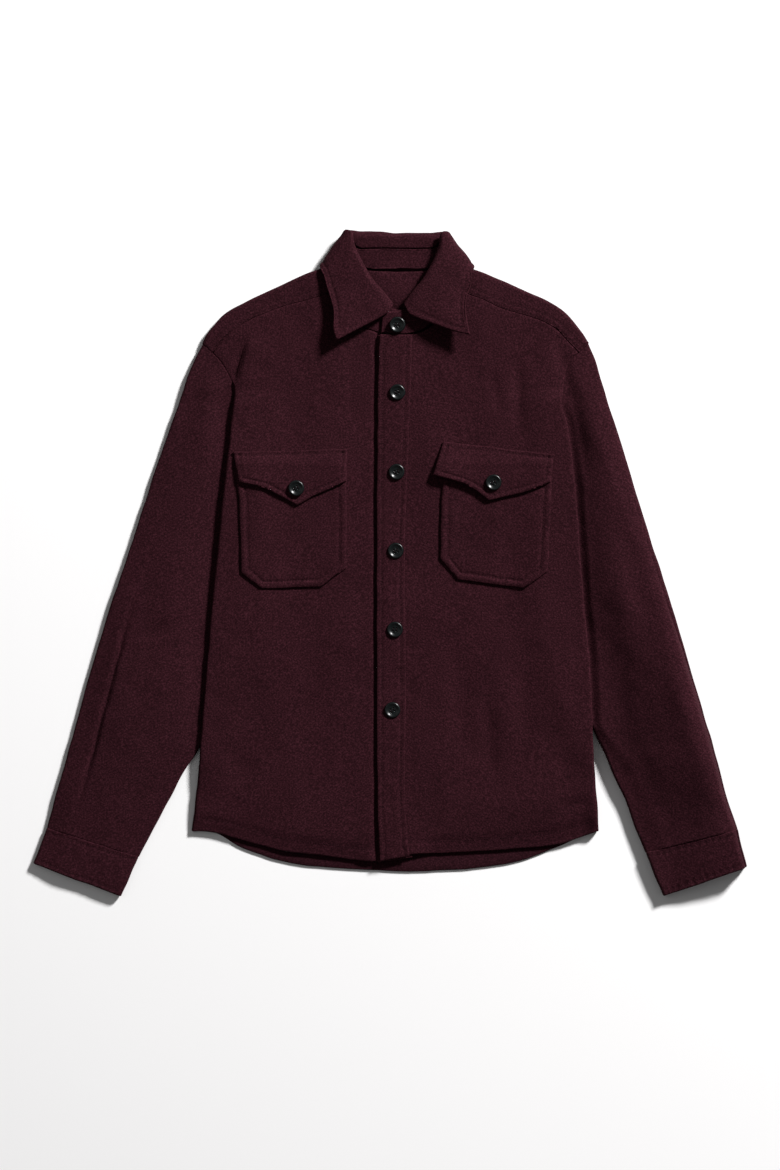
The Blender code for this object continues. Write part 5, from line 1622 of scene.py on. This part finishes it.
@dataclass
class Buttons:
    """Four-hole buttons, turned and polished, each sewn on with two bars of thread."""

    layout: Layout
    resin: Material
    thread: Material
    base_radius: float = 8.5
    dish_radius: float = 4.7
    hole: float = 1.07
    hole_wall: float = 0.34
    hole_out: float = 2.7
    hole_depth: float = 1.1
    bar_low: float = 0.7
    bar_arch: float = 1.2
    middle_longer: float = 0.04
    middle_higher: float = 0.12
    strand: float = 0.34
    strand_radius: float = 0.2
    turned: float = 0.5
    tilted: float = 0.03
    segments: int = 64
    profile: Table = field(default_factory=lambda: table("radius height", (9.0, 0.0), (9.6, 0.45), (9.75, 1.1),
        (9.6, 1.9), (9.1, 2.6), (8.5, 3.0), (8.0, 3.05), (7.4, 2.8), (6.3, 2.15), (5.3, 1.6), (4.9, 1.47)))
    dish_height: float = 1.45

    def grid(self) -> tuple[Array, Array]:
        """Turned rings of the profile, then rings across the dish with its four holes, and a closed base."""
        base, dish = np.linspace(0.0, self.base_radius, 4), np.linspace(self.dish_radius, 0.0, 24)
        radius = np.concatenate([base, self.profile["radius"], dish])
        height = np.concatenate([0 * base, self.profile["height"], np.full(len(dish), self.dish_height)])
        angle = np.linspace(0, 2 * math.pi, self.segments, endpoint=False)
        x, y = radius[:, None] * np.cos(angle), radius[:, None] * np.sin(angle)
        z = np.repeat(height[:, None], self.segments, axis=1)
        for turn in range(4):
            corner = math.radians(45 + 90 * turn)
            away = np.hypot(x - self.hole_out * math.cos(corner), y - self.hole_out * math.sin(corner))
            z[-len(dish):] -= self.hole_depth * below(away[-len(dish):], self.hole, self.hole_wall)
        cells = ring_cells(np.arange(x.size).reshape(x.shape))
        return points_of(x, y, z).reshape(-1, 3), cells.reshape(-1, 4)

    def bars(self) -> tuple[Array, Array]:
        """Thread from hole to hole: two bars of three strands, arched over the dish."""
        reach = self.hole_out * math.sqrt(0.5)
        share = np.linspace(0, 1, 9)
        angle = np.linspace(0, 2 * math.pi, 6, endpoint=False)
        across = np.array([[1.0, 0.0, 0.0]])
        parts = []
        for x in (-reach, reach):
            for strand in (-self.strand, 0.0, self.strand):
                middle = strand == 0
                path = points_of(x + strand, reach * (2 * share - 1) * (1 + self.middle_longer * middle),
                                 self.bar_low + self.bar_arch * np.sin(math.pi * share) ** 0.5
                                 + self.middle_higher * middle)
                up = np.cross(unit(np.gradient(path, axis=0)), across)
                parts.append(path[:, None] + self.strand_radius * (across[:, None] * np.cos(angle)[:, None]
                                                                   + up[:, None] * np.sin(angle)[:, None]))
        points = np.stack(parts)
        index = np.arange(points.size // 3).reshape(points.shape[:3])
        caps = [index[:, 0, [0, 1, 2, 3]], index[:, 0, [0, 3, 4, 5]],
                index[:, -1, [3, 2, 1, 0]], index[:, -1, [5, 4, 3, 0]]]
        return points.reshape(-1, 3), np.concatenate([ring_cells(index).reshape(-1, 4)] + caps)

    def build(self, nodes: list[str]) -> None:
        """Makes each button in the place of its node, turned and tilted a little its own way."""
        chance = np.random.default_rng(4)
        parts = {"_disc": (*self.grid(), self.resin), "_thread": (*self.bars(), self.thread)}
        for node in nodes:
            low, high = (np.array(corner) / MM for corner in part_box(node))
            centre = np.array([(low[0] + high[0]) / 2, (low[1] + high[1]) / 2, low[2]])
            place = np.array([*centre[:2], self.layout.settle(centre[None])[0, 2]])
            turn = chance.uniform(-self.turned, self.turned)
            cos, sin = math.cos(turn), math.sin(turn)
            spin = np.array([[cos, -sin, 0], [sin, cos, 0], [0, 0, 1]])
            tilt = chance.uniform(-self.tilted, self.tilted)
            for suffix, (points, cells, finish) in parts.items():
                points = points @ spin.T
                points[:, 2] += points[:, 0] * tilt
                obj = make_mesh(node + suffix, points + place, cells, finish)
                if finish is self.resin:
                    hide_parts(node)
                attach(obj, "root")
        log.info("buttons: %d", len(nodes))


@dataclass
class Studio:
    """Paper floor, one soft key light from the upper right, fill light and the camera straight above."""

    photo: tuple[int, int] = (780, 1170)
    mm_per_pixel: float = 1.22
    centre: Pair = (0.0, -26.8)
    distance: float = 6.0
    sensor: float = 36.0
    walls_light: float = 0.13
    walls_seen: float = 0.8
    half: float = 6.0
    floor_z: float = -0.0002
    lamps: dict[str, tuple] = field(default_factory=lambda: {"key_light": ((4.2, 4.7, 3.25), 1.0, 1140.0),
                                                             "left_fill": ((-2.4, 0.9, 3.0), 2.6, 8.0)})

    def build(self) -> None:
        """Makes floor, lights, surroundings and camera."""
        scene = bpy.context.scene
        floor = bpy.data.meshes.new("paper_floor")
        corners = [(x * self.half, y * self.half, self.floor_z)
                   for x, y in ((-1, -1), (1, -1), (1, 1), (-1, 1))]
        floor.from_pydata(corners, [], [(0, 1, 2, 3)])
        floor.materials.append(StudioPaper().material())
        obj = bpy.data.objects.new("paper_floor", floor)
        scene.collection.objects.link(obj)
        for name, lamp in self.lamps.items():
            self.lamp(name, *lamp)
        world = bpy.data.worlds.new("studio_walls")
        world.use_nodes = True
        tree = world.node_tree
        sight = add_node(tree, "ShaderNodeLightPath").outputs["Is Camera Ray"]
        bright = add_node(tree, "ShaderNodeMath", {1: self.walls_seen, 2: self.walls_light}, {0: sight},
                          operation="MULTIPLY_ADD", name="brightness")
        plug(tree, tree.nodes["Background"], {"Color": (1.0, 1.0, 1.0, 1.0)}, {"Strength": bright.outputs[0]})
        scene.world = world
        scene.view_settings.view_transform = "Standard"
        camera = bpy.data.cameras.new("camera")
        camera.sensor_fit = "VERTICAL"
        camera.sensor_height = self.sensor
        camera.lens = self.sensor * self.distance / (self.photo[1] * self.mm_per_pixel * MM)
        camera.clip_end = 50.0
        eye = bpy.data.objects.new("camera", camera)
        eye.location = (self.centre[0] * MM, self.centre[1] * MM, self.distance)
        scene.collection.objects.link(eye)
        scene.camera = eye
        log.info("studio ready")

    def lamp(self, name: str, place: tuple[float, float, float], size: float, power: float) -> None:
        """Square area light that faces the garment."""
        light = bpy.data.lights.new(name, "AREA")
        light.size = size
        light.energy = power
        obj = bpy.data.objects.new(name, light)
        obj.location = place
        obj.rotation_euler = Vector((-place[0], -place[1], -place[2])).to_track_quat("-Z", "Y").to_euler()
        bpy.context.scene.collection.objects.link(obj)


def main() -> None:
    """Builds the garment, its stitching and buttons, and the studio."""
    logging.basicConfig(level=logging.INFO, format="%(message)s")
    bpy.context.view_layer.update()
    layout = Layout()
    wool = BrushedWool("brushed_burgundy_wool", "#17060a", "#270e14", "#3d1c24", 0.07).material()
    inside = BrushedWool("unbrushed_wool_back", "#17070b", "#250d13", "#371921", 0.04).material()
    resin = PolishedResin().material()
    thread = SpunThread("burgundy_thread", "#280f15").material()
    dark_thread = SpunThread("black_button_thread", "#1c1215").material()
    body = Body(layout, wool, inside)
    sleeves, collar, placket, pockets = (kind(layout, wool) for kind in (Sleeves, Collar, Placket, Pockets))
    made = {}
    for part in (body, sleeves, collar, placket, pockets):
        made.update(part.build())
    stitches = Stitches(thread)
    stitches.run("yoke_topstitch", body.yoke_stitches(Side.RIGHT) + body.yoke_stitches(Side.LEFT), made["yoke"])
    for side in Side:
        flap_rows = [mirrored(row, side) for row in (pockets.flap_stitches(side), pockets.flap_top(side))]
        for piece, carrier, rows in (("hem", "front", [body.hem_row(side), body.armhole_stitches(side)]),
                                     ("cuff", "cuff", sleeves.cuff_rows(side)),
                                     ("pocket", "pocket", [mirrored(pockets.pocket_row(side), side)]),
                                     ("flap", "flap", flap_rows)):
            stitches.run(f"{piece}_topstitch_{side.word}", rows, made[f"{carrier}_{side.word}"])
    stitches.run("band_topstitch", placket.stitch_lines(), made["front_band"])
    stitches.run("collar_topstitch", collar.lines, made["collar_fall"])
    Buttons(layout, resin, dark_thread).build([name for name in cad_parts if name.startswith("button_")])
    Studio().build()


if __name__ == "__main__":
    main()
